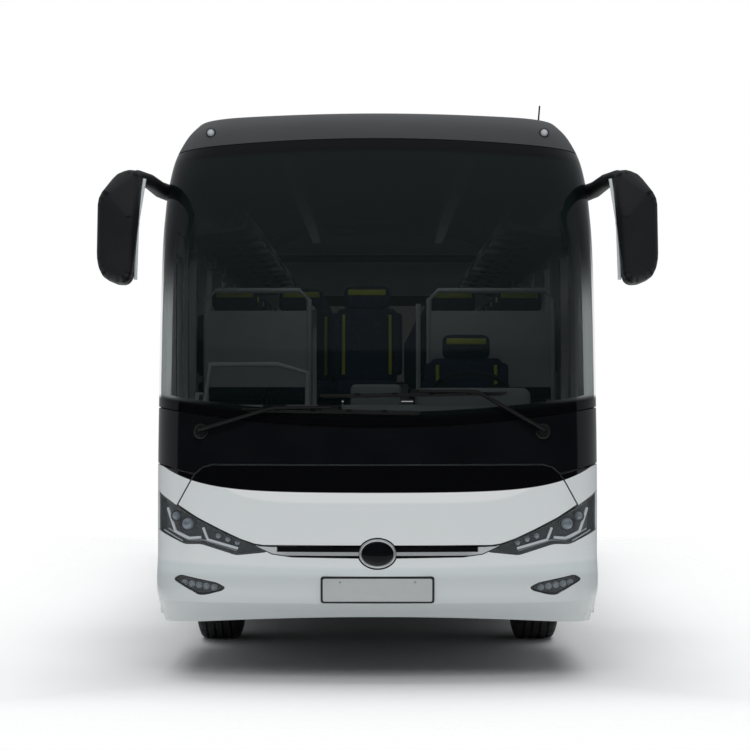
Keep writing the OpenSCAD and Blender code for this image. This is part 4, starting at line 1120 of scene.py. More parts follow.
class COACH_OT_rear(bpy.types.Operator):
    """Builds the smooth panels of the tail: wall, engine lid, cap and bumper"""

    bl_idname = "coach.rear"
    bl_label = "Rear panels"

    def execute(self, context):
        half = GAP / 2
        foot, belt, crown = (REAR.at[i] for i in (0, 1, 12))
        lid = oblong(*ENGINE_LID)

        def lamp_cuts(bm):
            for area in TAIL_LAMPS:
                add(bm, both(cutter(oblong(*area, 0.04), *TAIL_CUT)))

        bm = panel(REAR, belt + half, REAR_HEAD - half, 50)
        window_hole = cutter(oblong(*REAR_WINDOW), *TAIL_CUT)
        trimmed(bm, [cutter(grown(lid, GAP), *TAIL_CUT), window_hole, lamp_cuts])
        piece("rear_wall_skin", bm, "paint_white", replaces=["rear_wall"])

        bm = panel(REAR, belt + half, REAR.at[4], 40)
        trimmed(bm, [cutter(lid, *TAIL_CUT)], "INTERSECT")
        trimmed(bm, [cutter(oblong(*LOUVRES), *TAIL_CUT), cutter(oblong(*GRIP), *TAIL_CUT)])
        piece("engine_lid_skin", bm, "paint_white", "engine_lid", ["engine_lid"])

        bm = panel(REAR, REAR_HEAD + half, crown - half, 40, REAR_CAP_END)
        piece("rear_cap_skin", bm, "paint_white", replaces=["rear_cap"])

        bm = panel(REAR, foot, belt - half, 14)
        piece("rear_bumper_skin", bm, "paint_white", replaces=["rear_bumper"])
        return {"FINISHED"}


# Headlamp insides, left half, as (x, z): sill line, light guides, small and large round lamps
LAMP_SILL = [(0.80, 0.738), (0.99, 0.797), (1.085, 0.795), (1.22, 0.855)]
OUTER_GUIDE = [(1.214, 0.972), (1.163, 0.842), (1.075, 0.806), (1.003, 0.812)]
INNER_GUIDE = [(0.990, 0.868), (0.963, 0.800), (0.790, 0.752)]
SMALL_EYES = [(0.905, 0.822), (0.85, 0.803), (0.795, 0.785)]
MAIN_EYE, SIDE_EYE = (1.085, 0.888), (1.165, 0.93)
# Fog lamp's row of round lamps: first place, step and number
FOG_EYE, FOG_STEP, FOG_EYES = (0.925, 0.531), (0.044, 0.0065), 5


def on_path(points, lift, steps=6):
    """Places on the front surface along straight runs between points (x, z)."""
    out = []
    for (x0, z0), (x1, z1) in zip(points, points[1:]):
        out += [FRONT.on(x0 + (x1 - x0) * k / steps, z0 + (z1 - z0) * k / steps, lift) for k in range(steps)]
    return out + [FRONT.on(*points[-1], lift)]


def bead(points, lift, radius, steps=5):
    """A thin bar along points (x, z) of the front, on both sides."""
    return both(lambda bm: rod(bm, on_path(points, lift, steps), radius, 8))


def skin_of(outline, lift, thick, low, high, back):
    """A piece of the front surface inside an outline, on both sides."""

    def fill(bm):
        sheet(bm, FRONT, ACROSS, spread((low, 0), (high, 30)), lift=lift, thick=thick)
        trimmed(bm, [both(cutter(outline, AHEAD, back))], "INTERSECT")

    return fill


def eye(x, z, lift, radius, depth):
    """A round lamp bowl that looks ahead, open to the front, on both sides."""
    bowl = [(radius, 0), (radius * 1.12, -0.004), (radius * 1.12, depth), (0, depth), (0, depth * 0.7),
            (radius * 0.55, depth * 0.55)]
    return both(lambda bm: lathe(bm, bowl, FRONT.on(x, z, lift), "Y", 28))


def bulb(x, z, lift, radius):
    """A lens dome that looks ahead, on both sides."""
    turns = [k * math.pi / 14 for k in range(7)]
    dome = [(radius * math.cos(turn), -radius * 0.7 * math.sin(turn)) for turn in turns]
    closing = [(0, -radius * 0.7), (0, 0.004), (radius, 0.004)]
    return both(lambda bm: lathe(bm, dome + closing, FRONT.on(x, z, lift), "Y", 28))


class COACH_OT_lamps(bpy.types.Operator):
    """Builds the headlamps, fog lamps and marker lamps: bowls, light guides, lenses and bezels"""

    bl_idname = "coach.lamps"
    bl_label = "Lamps"

    def execute(self, context):
        self.head()
        self.fog()
        self.markers()
        return {"FINISHED"}

    def head(self):
        ring = rounded(LAMP, LAMP_ROUND)
        span = (FRONT.at[1], SCREEN_FOOT, LAMP_BACK)
        bm = bmesh.new()
        add(bm, skin_of(grown(ring, -0.002), -0.052, 0.006, *span))
        piece("headlamp_back", bm, "black_plastic")

        # The rim starts and ends where the lamp runs into the side of the body
        edge = [p for p in grown(ring, -0.004) if p[0] < 1.262]
        cut = max(range(len(edge)), key=lambda i: math.dist(edge[i], edge[(i + 1) % len(edge)]))
        rim = edge[cut + 1:] + edge[: cut + 1]
        foot = on_path(LAMP_FOOT[:3] + [(1.24, 0.845)], -0.022, 5)[2:]
        bm = bmesh.new()
        add(bm, bead(rim, -0.012, 0.0075, 2))
        add(bm, both(lambda b: rod(b, foot, 0.004, 8)), 1)
        add(bm, bead(LAMP_SILL, -0.03, 0.0035), 1)
        piece("headlamp_bezel", bm, ["gloss_black", "chrome"])

        bm = bmesh.new()
        add(bm, bead(OUTER_GUIDE, -0.02, 0.0085))
        add(bm, bead(INNER_GUIDE, -0.02, 0.0075))
        for place in SMALL_EYES:
            add(bm, bulb(*place, -0.03, 0.017), 1)
            add(bm, eye(*place, -0.026, 0.019, 0.02), 2)
        add(bm, bulb(*MAIN_EYE, -0.022, 0.034), 1)
        add(bm, eye(*MAIN_EYE, -0.03, 0.046, 0.02), 2)
        add(bm, bulb(*SIDE_EYE, -0.028, 0.024), 1)
        add(bm, eye(*SIDE_EYE, -0.032, 0.031, 0.018), 2)
        piece("headlamp_lights", bm, ["lamp_white", "lens_glass", "dark_chrome"])

        bm = bmesh.new()
        add(bm, skin_of(ring, 0.0, 0.004, *span))
        piece("headlamp_lens", bm, "clear_lens", replaces=["headlamps"])

    def fog(self):
        ring = rounded(FOG, 0.015)
        span = (FOOT, FRONT.at[2], BEHIND)
        bm = bmesh.new()
        add(bm, skin_of(ring, -0.036, 0.006, *span))
        add(bm, bead(grown(ring, -0.003) + ring[:1], -0.006, 0.006, 2), 1)
        for k in range(FOG_EYES):
            place = [start + step * k for start, step in zip(FOG_EYE, FOG_STEP)]
            add(bm, eye(*place, -0.018, 0.0165, 0.016), 2)
            add(bm, bulb(*place, -0.022, 0.014), 3)
        piece("fog_lamp_set", bm, ["black_plastic", "gloss_black", "chrome", "lens_glass"])

        bm = bmesh.new()
        add(bm, skin_of(ring, 0.0, 0.004, *span))
        piece("fog_lamp_lens", bm, "clear_lens", replaces=["fog_lamps"])

    def markers(self):
        rim = [(0.0295, 0.0), (0.0295, -0.016), (0.022, -0.022), (0.022, 0.0)]
        lens = [(0.022, -0.014), (0.012, -0.024), (0, -0.026), (0, 0), (0.022, 0)]
        x, z = MARKER
        bm = bmesh.new()
        for side in (-1, 1):
            place = FRONT.on(side * x, z)
            add(bm, lambda b: lathe(b, rim, place, "Y", 28))
            add(bm, lambda b: lathe(b, lens, place, "Y", 28), 1)
        piece("marker_lamp_set", bm, ["cap_grey", "lamp_white"], replaces=["marker_lamps"])


# Places of the badge and of the plate's face along the body
BADGE_Y, PLATE_Y = -5.985, -5.996


class COACH_OT_trim(bpy.types.Operator):
    """Builds the chrome strip, the plain oval badge and the blank number plate"""

    bl_idname = "coach.trim"
    bl_label = "Front trim"

    def execute(self, context):
        bm = bmesh.new()
        rows = spread((FRONT.at[1], 0), (BLACK_EDGE, 40))
        sheet(bm, FRONT, ACROSS, rows, lift=0.004, thick=0.016)
        trimmed(bm, [cutter(whole(STRIP, 0.0), AHEAD, BEHIND)], "INTERSECT")
        trimmed(bm, [cutter(badge_oval(0.002), AHEAD, BEHIND)])
        piece("front_strip", bm, "strip_trim", replaces=["front_trim"])
        self.badge()
        self.plate()
        return {"FINISHED"}

    def badge(self):
        z, half_x, half_z = BADGE

        def dome(bm):
            bmesh.ops.create_uvsphere(bm, u_segments=40, v_segments=20, radius=1)
            bmesh.ops.scale(bm, vec=(half_x - 0.01, 0.0125, half_z - 0.01), verts=bm.verts)
            bmesh.ops.translate(bm, vec=(0, BADGE_Y, z), verts=bm.verts)

        oval = [(x, BADGE_Y - 0.004, h) for x, h in badge_oval(-0.007, 40)]
        bm = bmesh.new()
        add(bm, dome)
        add(bm, lambda b: rod(b, oval + oval[:2], 0.0075, 10), 1)
        piece("badge_oval", bm, ["gloss_black", "chrome"])

    def plate(self):
        half, z0, z1 = PLATE
        edge = [(x, PLATE_Y + 0.003, h) for x, h in plate_outline(-0.004)]
        screw = [(0.007, 0.0), (0.007, -0.002), (0.004, -0.003), (0, -0.003), (0, 0)]
        low, high = (-half + 0.006, PLATE_Y, z0 + 0.006), (half - 0.006, -5.98, z1 - 0.006)
        bm = bmesh.new()
        add(bm, lambda b: box(b, low, high, 0.004))
        add(bm, lambda b: rod(b, edge + edge[:2], 0.0055, 8), 1)
        for x in (-0.21, 0.21):
            add(bm, lambda b: lathe(b, screw, (x, PLATE_Y - 0.0005, z1 - 0.03), "Y", 16), 2)
        add(bm, lambda b: box(b, (-half + 0.01, -5.985, z0 + 0.01), (half - 0.01, -5.93, z1 - 0.01)), 1)
        piece("number_plate_blank", bm, ["plate_grey", "black_plastic", "chrome"],
              replaces=["number_plate"])


# Mirrors: outline of the left head as (x, z), then its place along the body, depth, height of its
# shoulder and corner radius, and its arm and inner trim as (x, y, z)
MIRROR = [(1.395, 2.868), (1.470, 2.850), (1.556, 2.730), (1.562, 2.400), (1.545, 2.330), (1.450, 2.290),
          (1.440, 2.600)]
MIRROR_Y, MIRROR_DEEP, MIRROR_SHOULDER, MIRROR_ROUND = -5.60, 0.09, 2.76, 0.03
MIRROR_ARM = [(1.236, -4.90, 2.83), (1.30, -5.06, 2.846), (1.34, -5.30, 2.872), (1.39, -5.50, 2.88),
              (1.43, -5.59, 2.84)]
MIRROR_TRIM = [(1.338, -5.62, 2.86), (1.380, -5.62, 2.6), (1.391, -5.62, 2.28)]
# Wipers as (x, z): arm from its pivot to the blade's mount, and ends of the blade
ARMS = [[(-1.001, 1.412), (-0.586, 1.538), (-0.266, 1.541)], [(0.936, 1.412), (0.558, 1.629), (0.233, 1.632)]]
BLADES = [[(-0.760, 1.533), (0.238, 1.516)], [(0.727, 1.626), (-0.322, 1.611)]]
PIVOT = [(0.044, 0.0), (0.044, -0.010), (0.034, -0.016), (0.034, -0.034), (0.028, -0.044),
         (0, -0.046), (0, 0)]


def mirror_head(bm):
    """The rounded hull of the left mirror, shallower at its top."""
    for x, z in rounded(MIRROR, MIRROR_ROUND, 2):
        deep = MIRROR_DEEP * (1 if z < MIRROR_SHOULDER else 0.2)
        for radius, y in ((0.052, MIRROR_Y), (0.044, MIRROR_Y - deep)):
            made = bmesh.ops.create_uvsphere(bm, u_segments=24, v_segments=16, radius=radius)["verts"]
            bmesh.ops.translate(bm, vec=(x, y, z), verts=made)
    spare = bmesh.ops.convex_hull(bm, input=bm.verts)
    inside = spare["geom_interior"] + spare["geom_unused"]
    bmesh.ops.delete(bm, geom=[g for g in inside if isinstance(g, bmesh.types.BMVert)], context="VERTS")


class COACH_OT_mirrors(bpy.types.Operator):
    """Builds the mirrors with their arms, and the wipers"""

    bl_idname = "coach.mirrors"
    bl_label = "Mirrors and wipers"

    def execute(self, context):
        glass = rounded(MIRROR, MIRROR_ROUND)
        seal = [(x, -5.556, z) for x, z in grown(glass, 0.022)]
        bm = bmesh.new()
        add(bm, both(mirror_head))
        add(bm, both(cutter(grown(glass, 0.018), -5.552, -5.548)), 1)
        add(bm, both(lambda b: rod(b, seal + seal[:2], 0.005, 8)), 2)
        add(bm, both(lambda b: rod(b, MIRROR_ARM, [0.05, 0.048, 0.044, 0.042, 0.04], 16)))
        add(bm, both(lambda b: rod(b, MIRROR_TRIM, 0.010, 8)), 3)
        add(bm, both(lambda b: box(b, (1.232, -4.95, 2.785), (1.262, -4.83, 2.872), 0.012)))
        piece("mirror_pair", bm, ["black_plastic", "mirror_glass", "rubber", "paint_white"],
              replaces=["mirrors"], angle=40)

        bm = bmesh.new()
        for arm, blade in zip(ARMS, BLADES):
            self.wiper(bm, arm, blade)
        piece("wiper_pair", bm, ["wiper_coat", "rubber"], replaces=["wipers"])
        return {"FINISHED"}

    def wiper(self, bm, arm, blade):
        def block(place, low, high, bevel):
            add(bm, lambda b: box(b, place + Vector(low), place + Vector(high), bevel))

        pivot = FRONT.on(*arm[0])
        path = on_path(arm, 0.038, 8)
        radii = [0.023 - 0.012 * i / len(path) for i in range(len(path))]
        lip = [(x * 0.97, z - 0.008) for x, z in blade]
        add(bm, lambda b: lathe(b, PIVOT, pivot, "Y", 28))
        add(bm, lambda b: rod(b, path, radii, 12, 0.6))
        block(FRONT.on(*arm[2], 0.022), (-0.05, -0.014, -0.016), (0.05, 0.014, 0.012), 0.006)
        add(bm, lambda b: rod(b, on_path(blade, 0.018, 16), 0.0075, 8))
        add(bm, lambda b: rod(b, on_path(lip, 0.006, 16), 0.005, 6), 1)
        for share in (0.2, 0.4, 0.6, 0.8):
            x, z = (a + (b - a) * share for a, b in zip(*blade))
            block(FRONT.on(x, z, 0.018), (-0.018, -0.012, -0.012), (0.018, 0.01, 0.012), 0.004)


# Sides: wheel arches, entry door and flaps along the body
ARCH_R, ARCH_LINER_R, LINER_OUT = 0.6, 0.603, 1.258
DOOR_Y, DOOR_Z = (-5.024, -4.106), (0.40, 2.60)
FLAP_START, FLAP_PITCH, FLAP_LOCK_Z = -2.72, 1.616, 0.44
FLAP_LOCK = [(0.034, 0), (0.034, 0.004), (0.028, 0.006), (0.012, 0.006), (0.010, 0.009), (0, 0.009), (0, 0)]


def side_x(z):
    """Half width of the body at height z."""
    rows = [row[:2] for row in FRONT.rows[1:9]]
    for (z0, x0), (z1, x1) in zip(rows, rows[1:]):
        if z <= z1:
            return x0 + (x1 - x0) * max(z - z0, 0) / (z1 - z0)
    return rows[-1][1]


def strip(side, y, z, lift, thick=0.008, bevel=0.002):
    """A slim bar or plate that follows the side of the body."""

    def run(bm):
        box(bm, (HALF_WIDTH + lift - thick, y[0], z[0]), (HALF_WIDTH + lift, y[1], z[1]), bevel)
        for k in range(1, 8):
            bmesh.ops.bisect_plane(bm, geom=bm.verts[:] + bm.edges[:] + bm.faces[:], dist=WELD,
                                   plane_co=(0, 0, z[0] + (z[1] - z[0]) * k / 8), plane_no=(0, 0, 1))
        for vert in bm.verts:
            vert.co.x = side * (vert.co.x + side_x(vert.co.z) - HALF_WIDTH)
        bmesh.ops.recalc_face_normals(bm, faces=bm.faces)

    return run


def panes():
    """Boxes of the separate panes, as (low, high)."""
    bm = bmesh.new()
    bm.from_mesh(frame["nodes"]["window_panes"].data)
    bmesh.ops.remove_doubles(bm, verts=bm.verts, dist=WELD)
    left, out = set(bm.verts), []
    while left:
        group, queue = set(), [left.pop()]
        while queue:
            vert = queue.pop()
            group.add(vert)
            near = {e.other_vert(vert) for e in vert.link_edges} & left
            left -= near
            queue += near
        out.append([Vector([pick(v.co[k] for v in group) for k in range(3)]) for pick in (min, max)])
    bm.free()
    return out


def arch(side, x, y, radius, turn):
    """A place on a wheel arch at a turn in radians from straight behind the wheel."""
    return side * x, y + radius * math.cos(turn), TYRE_R + radius * math.sin(turn)


def liner(bm, side, y, inner):
    """The black lining of a wheel arch."""
    bmesh.ops.create_grid(bm, x_segments=1, y_segments=40, size=1)
    for vert in bm.verts:
        x = inner + (LINER_OUT - inner) * (vert.co.x + 1) / 2
        vert.co = arch(side, x, y, ARCH_LINER_R, math.radians(90 + vert.co.y * 105))
    bmesh.ops.recalc_face_normals(bm, faces=bm.faces)
    bmesh.ops.solidify(bm, geom=bm.faces, thickness=0.004)


class COACH_OT_sides(bpy.types.Operator):
    """Adds seals, arch lips and linings, side markers, flap locks and service doors along the sides"""

    bl_idname = "coach.sides"
    bl_label = "Side detail"

    def execute(self, context):
        self.seals()
        self.liners()
        self.doors()
        for side, word in ((1, "left"), (-1, "right")):
            for i in (1, 2, 3):
                self.flap(side, f"{word}_{i}", FLAP_START + (i - 1) * FLAP_PITCH)
        return {"FINISHED"}

    def seals(self):
        turns = [math.radians(a) for a in range(-16, 197, 4)]
        bm = bmesh.new()
        for side in (-1, 1):
            row = sorted((p for p in panes() if p[0].x * side > 0.9 and p[1].y < 5.6), key=lambda p: p[0].y)
            for a, b in zip(row, row[1:]):
                if b[0].y - a[1].y < 0.2:
                    low, high = max(a[0].z, b[0].z), min(a[1].z, b[1].z)
                    add(bm, strip(side, (a[1].y - 0.06, b[0].y + 0.06), (low, high), 0.003, 0.004, 0.0))
            for low, high in row:
                for z in (low.z, high.z):
                    add(bm, strip(side, (low.y - 0.008, high.y + 0.008), (z - 0.011, z + 0.011), 0.0045))
            for y in (FRONT_Y, REAR_Y):
                lip = [arch(side, 1.268, y, ARCH_R, turn) for turn in turns]
                add(bm, lambda b: rod(b, lip, 0.010, 8))
        for y in DOOR_Y:
            add(bm, strip(-1, (y - 0.007, y + 0.007), DOOR_Z, 0.004))
        add(bm, strip(-1, (-5.02, -4.11), (2.598, 2.612), 0.004))
        piece("side_seals", bm, "rubber")

    def liners(self):
        bm = bmesh.new()
        for side in (-1, 1):
            for y, inner in ((FRONT_Y, 0.74), (REAR_Y, 0.52)):
                add(bm, lambda b: liner(b, side, y, inner))
        piece("arch_liners", bm, "black_plastic")

    def doors(self):
        """The entry door's handle, and the doors and grilles beside the engine."""
        bm = bmesh.new()
        add(bm, strip(-1, (-4.235, -4.165), (1.10, 1.27), 0.006, 0.01, 0.004), 1)
        add(bm, strip(-1, (-4.225, -4.175), (1.115, 1.255), 0.014, 0.012, 0.005), 2)
        for side in (-1, 1):
            for y in (3.52, 5.40):
                add(bm, strip(side, (y - 0.05, y + 0.05), (0.62, 0.652), 0.012, 0.014, 0.005), 3)
            add(bm, strip(side, (3.66, 5.30), (0.545, 1.165), 0.001, 0.006), 1)
            for span in ((3.668, 4.476), (4.484, 5.292)):
                add(bm, strip(side, span, (0.553, 1.157), 0.005, 0.008, 0.003))
            for k in range(11):
                z = 0.66 + 0.04 * k
                add(bm, strip(side, (4.60, 5.18), (z, z + 0.022), 0.012, 0.012, 0.004), 1)
            for y in (3.78, 4.36):
                add(bm, strip(side, (y - 0.03, y + 0.03), (0.60, 0.63), 0.008, 0.01, 0.003), 2)
        add(bm, strip(-1, (3.80, 4.06), (0.80, 1.06), 0.008, 0.006, 0.003))
        piece("side_doors", bm, ["paint_white", "black_plastic", "chrome", "amber"])

    def flap(self, side, name, y):
        """Locks, side marker and foot seal of one luggage flap that starts at y."""
        lock = [(radius, side * out) for radius, out in FLAP_LOCK]
        x = side * side_x(FLAP_LOCK_Z)
        bm = bmesh.new()
        for along in (0.24, 1.368):
            add(bm, lambda b: lathe(b, lock, (x, y + along, FLAP_LOCK_Z), "X", 28))
        add(bm, strip(side, (y + 0.754, y + 0.854), (0.60, 0.632), 0.012, 0.014, 0.005), 1)
        add(bm, strip(side, (y + 0.03, y + 1.578), (0.352, 0.368), 0.005, 0.008, 0.003), 2)
        piece(f"flap_fittings_{name}", bm, ["chrome", "amber", "rubber"], f"luggage_flap_{name}")


class COACH_OT_roof(bpy.types.Operator):
    """Adds the roof hatches and the grilles of the air-conditioner housing"""

    bl_idname = "coach.roof"
    bl_label = "Roof detail"

    def execute(self, context):
        bm = bmesh.new()
        for y in (-2.75, 3.2):
            add(bm, lambda b: box(b, (-0.36, y - 0.42, 3.30), (0.36, y + 0.42, 3.345), 0.012), 1)
            add(bm, lambda b: box(b, (-0.33, y - 0.39, 3.31), (0.33, y + 0.39, 3.385), 0.03, 4))
        for x0, x1 in ((-0.812, -0.74), (0.74, 0.812)):
            for y in (-0.95, 0.10, 1.15):
                for k in range(5):
                    z = 3.335 + 0.022 * k
                    add(bm, lambda b: box(b, (x0, y - 0.4, z), (x1, y + 0.4, z + 0.012), 0.004), 1)
        piece("roof_fittings", bm, ["paint_white", "black_plastic"])
        return {"FINISHED"}


# Engine lid's slats: first height and step, their number, and the points along each
SLAT_Z, SLAT_STEP, SLATS, SLAT_POINTS = 0.945, 0.0445, 12, 15


def patch(outline, lift, thick=0.005):
    """A piece of the tail inside an outline of (x, z)."""

    def run(bm):
        sheet(bm, REAR, ACROSS, spread((0, 0), (REAR_HEAD, 60)), lift=lift, thick=thick)
        trimmed(bm, [cutter(outline, 5.5, 6.2)], "INTERSECT")

    return run


def tail_line(outline, lift, radius):
    """A thin bead on the tail along a closed outline."""
    path = [REAR.on(x, z, lift) for x, z in outline]
    return lambda bm: rod(bm, path + path[:2], radius, 8)


class COACH_OT_tail(bpy.types.Operator):
    """Adds the engine lid's louvres, tail lamp lenses, reflectors, plate and seals at the back"""

    bl_idname = "coach.tail"
    bl_label = "Tail detail"

    def execute(self, context):
        self.louvres()
        self.lamps()
        self.fittings()
        return {"FINISHED"}

    def louvres(self):
        bm = bmesh.new()
        add(bm, patch(grown(oblong(*LOUVRES), 0.01), -0.0125))
        for k in range(SLATS):
            z = SLAT_Z + SLAT_STEP * k
            slat = [REAR.on(-0.595 + 0.085 * i, z, -0.011) for i in range(SLAT_POINTS)]
            add(bm, lambda b: rod(b, slat, 0.010, 8))
        handle = [REAR.on(-0.09 + 0.03 * i, 0.78, -0.0082) for i in range(7)]
        add(bm, lambda b: rod(b, handle, 0.007, 8), 1)
        add(bm, patch(grown(oblong(*GRIP), 0.01), -0.0125))
        piece("engine_louvres", bm, ["black_plastic", "chrome"], "engine_lid")

    def lamps(self):
        bm = bmesh.new()
        for area, lens in zip(TAIL_LAMPS, (0, 0, 2)):
            x0, z0, x1, z1 = area
            ring = oblong(*area, 0.038)
            turns = [i * math.tau / 24 for i in range(24)]
            hoop = [((x0 + x1) / 2 + 0.04 * math.cos(a), (z0 + z1) / 2 + 0.04 * math.sin(a)) for a in turns]
            for side in (-1, 1):
                lens_edge, bezel, inner = ([(side * x, z) for x, z in line]
                                           for line in (ring, grown(ring, 0.002), hoop))
                add(bm, patch(lens_edge, -0.001, 0.02), lens)
                add(bm, tail_line(bezel, 0.0, 0.006), 1)
                add(bm, tail_line(inner, 0.0, 0.006), 3)
        piece("tail_lamp_set", bm, ["tail_red", "gloss_black", "amber", "chrome"],
              replaces=["tail_lamps"])

    def fittings(self):
        """Window seal, high brake lamp, reflectors, blank plate and the backing of the cap's seam."""
        rows = spread((REAR_HEAD - 0.04, 0), (REAR_HEAD + 0.04, 4))
        bm = bmesh.new()
        add(bm, tail_line(oblong(*REAR_WINDOW), 0.0, 0.011))
        add(bm, patch(oblong(-0.30, 2.745, 0.30, 2.785, 0.012), 0.003), 1)
        for x0, x1 in ((-0.98, -0.80), (0.80, 0.98)):
            add(bm, patch(oblong(x0, 0.50, x1, 0.545, 0.01), 0.003), 1)
        add(bm, patch(oblong(-0.275, 0.425, 0.275, 0.565, 0.018), 0.001))
        add(bm, patch(oblong(-0.26, 0.44, 0.26, 0.55, 0.012), 0.003), 2)
        add(bm, lambda b: sheet(b, REAR, ACROSS, rows, lift=-0.016, thick=0.004))
        piece("tail_fittings", bm, ["black_plastic", "tail_red", "plate_grey"])


# Wheels: tread grooves by their distance from the middle, wheel places across the body
GROOVES, GROOVE_DEEP, TYRE_STEPS, BLOCK_STEPS = (0.078, 0.026), 0.013, 120, 4
FRONT_X, REAR_X, TWIN_HALF = 1.04, 0.93, 0.1675
# Rims: place of the face from the tyre's middle and length of the hub, then nuts and hand holes
FRONT_DISC, REAR_DISC = (0.072, 0.060), (-0.131, 0.100)
NUTS, NUT_RING, HOLE_RING = 10, 0.168, 0.222
NUT = [(0.019, 0.0), (0.019, 0.004), (0.0155, 0.004), (0.0155, 0.022), (0.012, 0.026), (0.0085, 0.026),
       (0.0085, 0.036), (0, 0.037), (0, 0)]
HAND_HOLE = [(0.027, 0.0), (0.027, 0.003), (0, 0.003), (0, 0)]


def tyre_shape(bm):
    """A ribbed radial tyre about the X axis with shoulder blocks."""
    h = TYRE_W / 2
    right = [(RIM_R, h - 0.034), (RIM_R + 0.008, h - 0.024), (RIM_R + 0.022, h - 0.016),
             (RIM_R + 0.03, h - 0.01), (RIM_R + 0.045, h - 0.009), (RIM_R + 0.05, h - 0.005),
             (0.36, h - 0.002), (0.403, h), (0.43, h - 0.001), (0.433, h - 0.004), (0.44, h - 0.004),
             (0.443, h - 0.002), (0.458, h - 0.006), (0.478, h - 0.012), (0.502, h - 0.022),
             (0.514, h - 0.034), (TYRE_R - 0.002, h - 0.044)]
    for centre in GROOVES:
        right += [(TYRE_R, centre + 0.007), (TYRE_R - GROOVE_DEEP, centre + 0.004),
                  (TYRE_R - GROOVE_DEEP, centre - 0.004), (TYRE_R, centre - 0.007)]
    lathe(bm, right + [(r, -d) for r, d in reversed(right)], (0, 0, 0), "X", TYRE_STEPS)
    for vert in bm.verts:
        radius = math.hypot(vert.co.y, vert.co.z)
        if radius > 0.5 and abs(vert.co.x) > 0.084:
            turn = round(math.atan2(vert.co.z, vert.co.y) / math.tau * TYRE_STEPS)
            if turn % BLOCK_STEPS == 0:
                vert.co.yz *= (radius - 0.011) / radius


class COACH_OT_wheels(bpy.types.Operator):
    """Builds the tyres with tread, and the rims with nuts, hubs and hand holes"""

    bl_idname = "coach.wheels"
    bl_label = "Wheels"

    def execute(self, context):
        for name, side in (("left", 1), ("right", -1)):
            front, rear = f"wheel_front_{name}", f"wheels_rear_{name}"
            single = (side * FRONT_X, FRONT_Y, TYRE_R)
            twins = [(side * (REAR_X + off), REAR_Y, TYRE_R) for off in (-TWIN_HALF, TWIN_HALF)]
            self.tread(f"tyre_front_{name}", front, [single])
            self.tread(f"tyres_rear_{name}", rear, twins)
            self.rim(f"rim_front_{name}", front, side, single, *FRONT_DISC)
            self.rim(f"rims_rear_{name}", rear, side, twins[1], *REAR_DISC)
        return {"FINISHED"}

    def tread(self, node, body, places):
        bm = bmesh.new()
        for place in places:
            add(bm, placed(tyre_shape, Matrix.Translation(place)))
        piece(node + "_tread", bm, "tyre", body, [node])

    def rim(self, node, body, side, place, disc, hub):
        """A copy of a rim with its nuts, hand holes and hub; disc is where its face sits."""
        cap = [(0.108, 0.0), (0.108, hub * 0.5), (0.085, hub * 0.8), (0.08, hub), (0.05, hub + 0.012),
               (0, hub + 0.014), (0, 0)]
        centre = Matrix.Translation(place) @ Matrix.Diagonal((side, 1, 1, 1))
        bm = bmesh.new()
        bm.from_mesh(frame["nodes"][node].data)
        bmesh.ops.remove_doubles(bm, verts=bm.verts, dist=WELD)

        def turned(profile, steps, turn, along, out, material):
            spot = centre @ Matrix.Rotation(turn, 4, "X") @ Matrix.Translation((disc + along, 0, out))
            add(bm, placed(lambda b: lathe(b, profile, (0, 0, 0), "X", steps), spot), material)

        for k in range(NUTS):
            turn = k * math.tau / NUTS
            turned(NUT, 18, turn, 0, NUT_RING, 1)
            turned(HAND_HOLE, 20, turn + math.pi / NUTS, 0.009, HOLE_RING, 2)
        turned(cap, 36, 0, 0.02, 0, 3)
        piece(node + "_face", bm, ["rim_silver", "chrome", "rubber", "cast_steel"], body,
              [node])


# Cabin: heights of the passenger deck and driver's platform, seat sizes, seat rows
DECK, PLATFORM = 1.24, 0.90
SEAT_TALL, CUSHION_TOP, SEAT_LEAN = 1.12, 0.45, -12
ROWS, ROW_PITCH, PAIR_X, SEAT_WIDTH = 11, 0.79, 0.74, 0.45
# Grab rails as (x, y, z): steps, guide's place, entry and driver's guard
RAILS = [
    [(-0.40, -4.20, 1.0), (-0.40, -4.20, 2.05), (-0.40, -4.30, 2.15), (-0.40, -4.75, 2.15)],
    [(-0.42, -5.05, 1.46), (-0.42, -5.05, 1.75), (-0.60, -5.05, 1.80), (-1.0, -5.05, 1.80),
     (-1.05, -5.05, 1.46)],
    [(-1.10, -4.86, 0.75), (-1.10, -4.86, 1.55), (-1.10, -4.80, 1.62), (-1.10, -4.3, 1.62)],
    [(0.26, -4.10, 0.90), (0.26, -4.10, 2.2)]]
DIAL = [(0.052, 0.0), (0.052, 0.01), (0.046, 0.01), (0.046, 0.002), (0, 0.002), (0, 0)]
VENT = [(0.028, 0.0), (0.028, -0.012), (0.012, -0.016), (0, -0.016), (0, 0)]


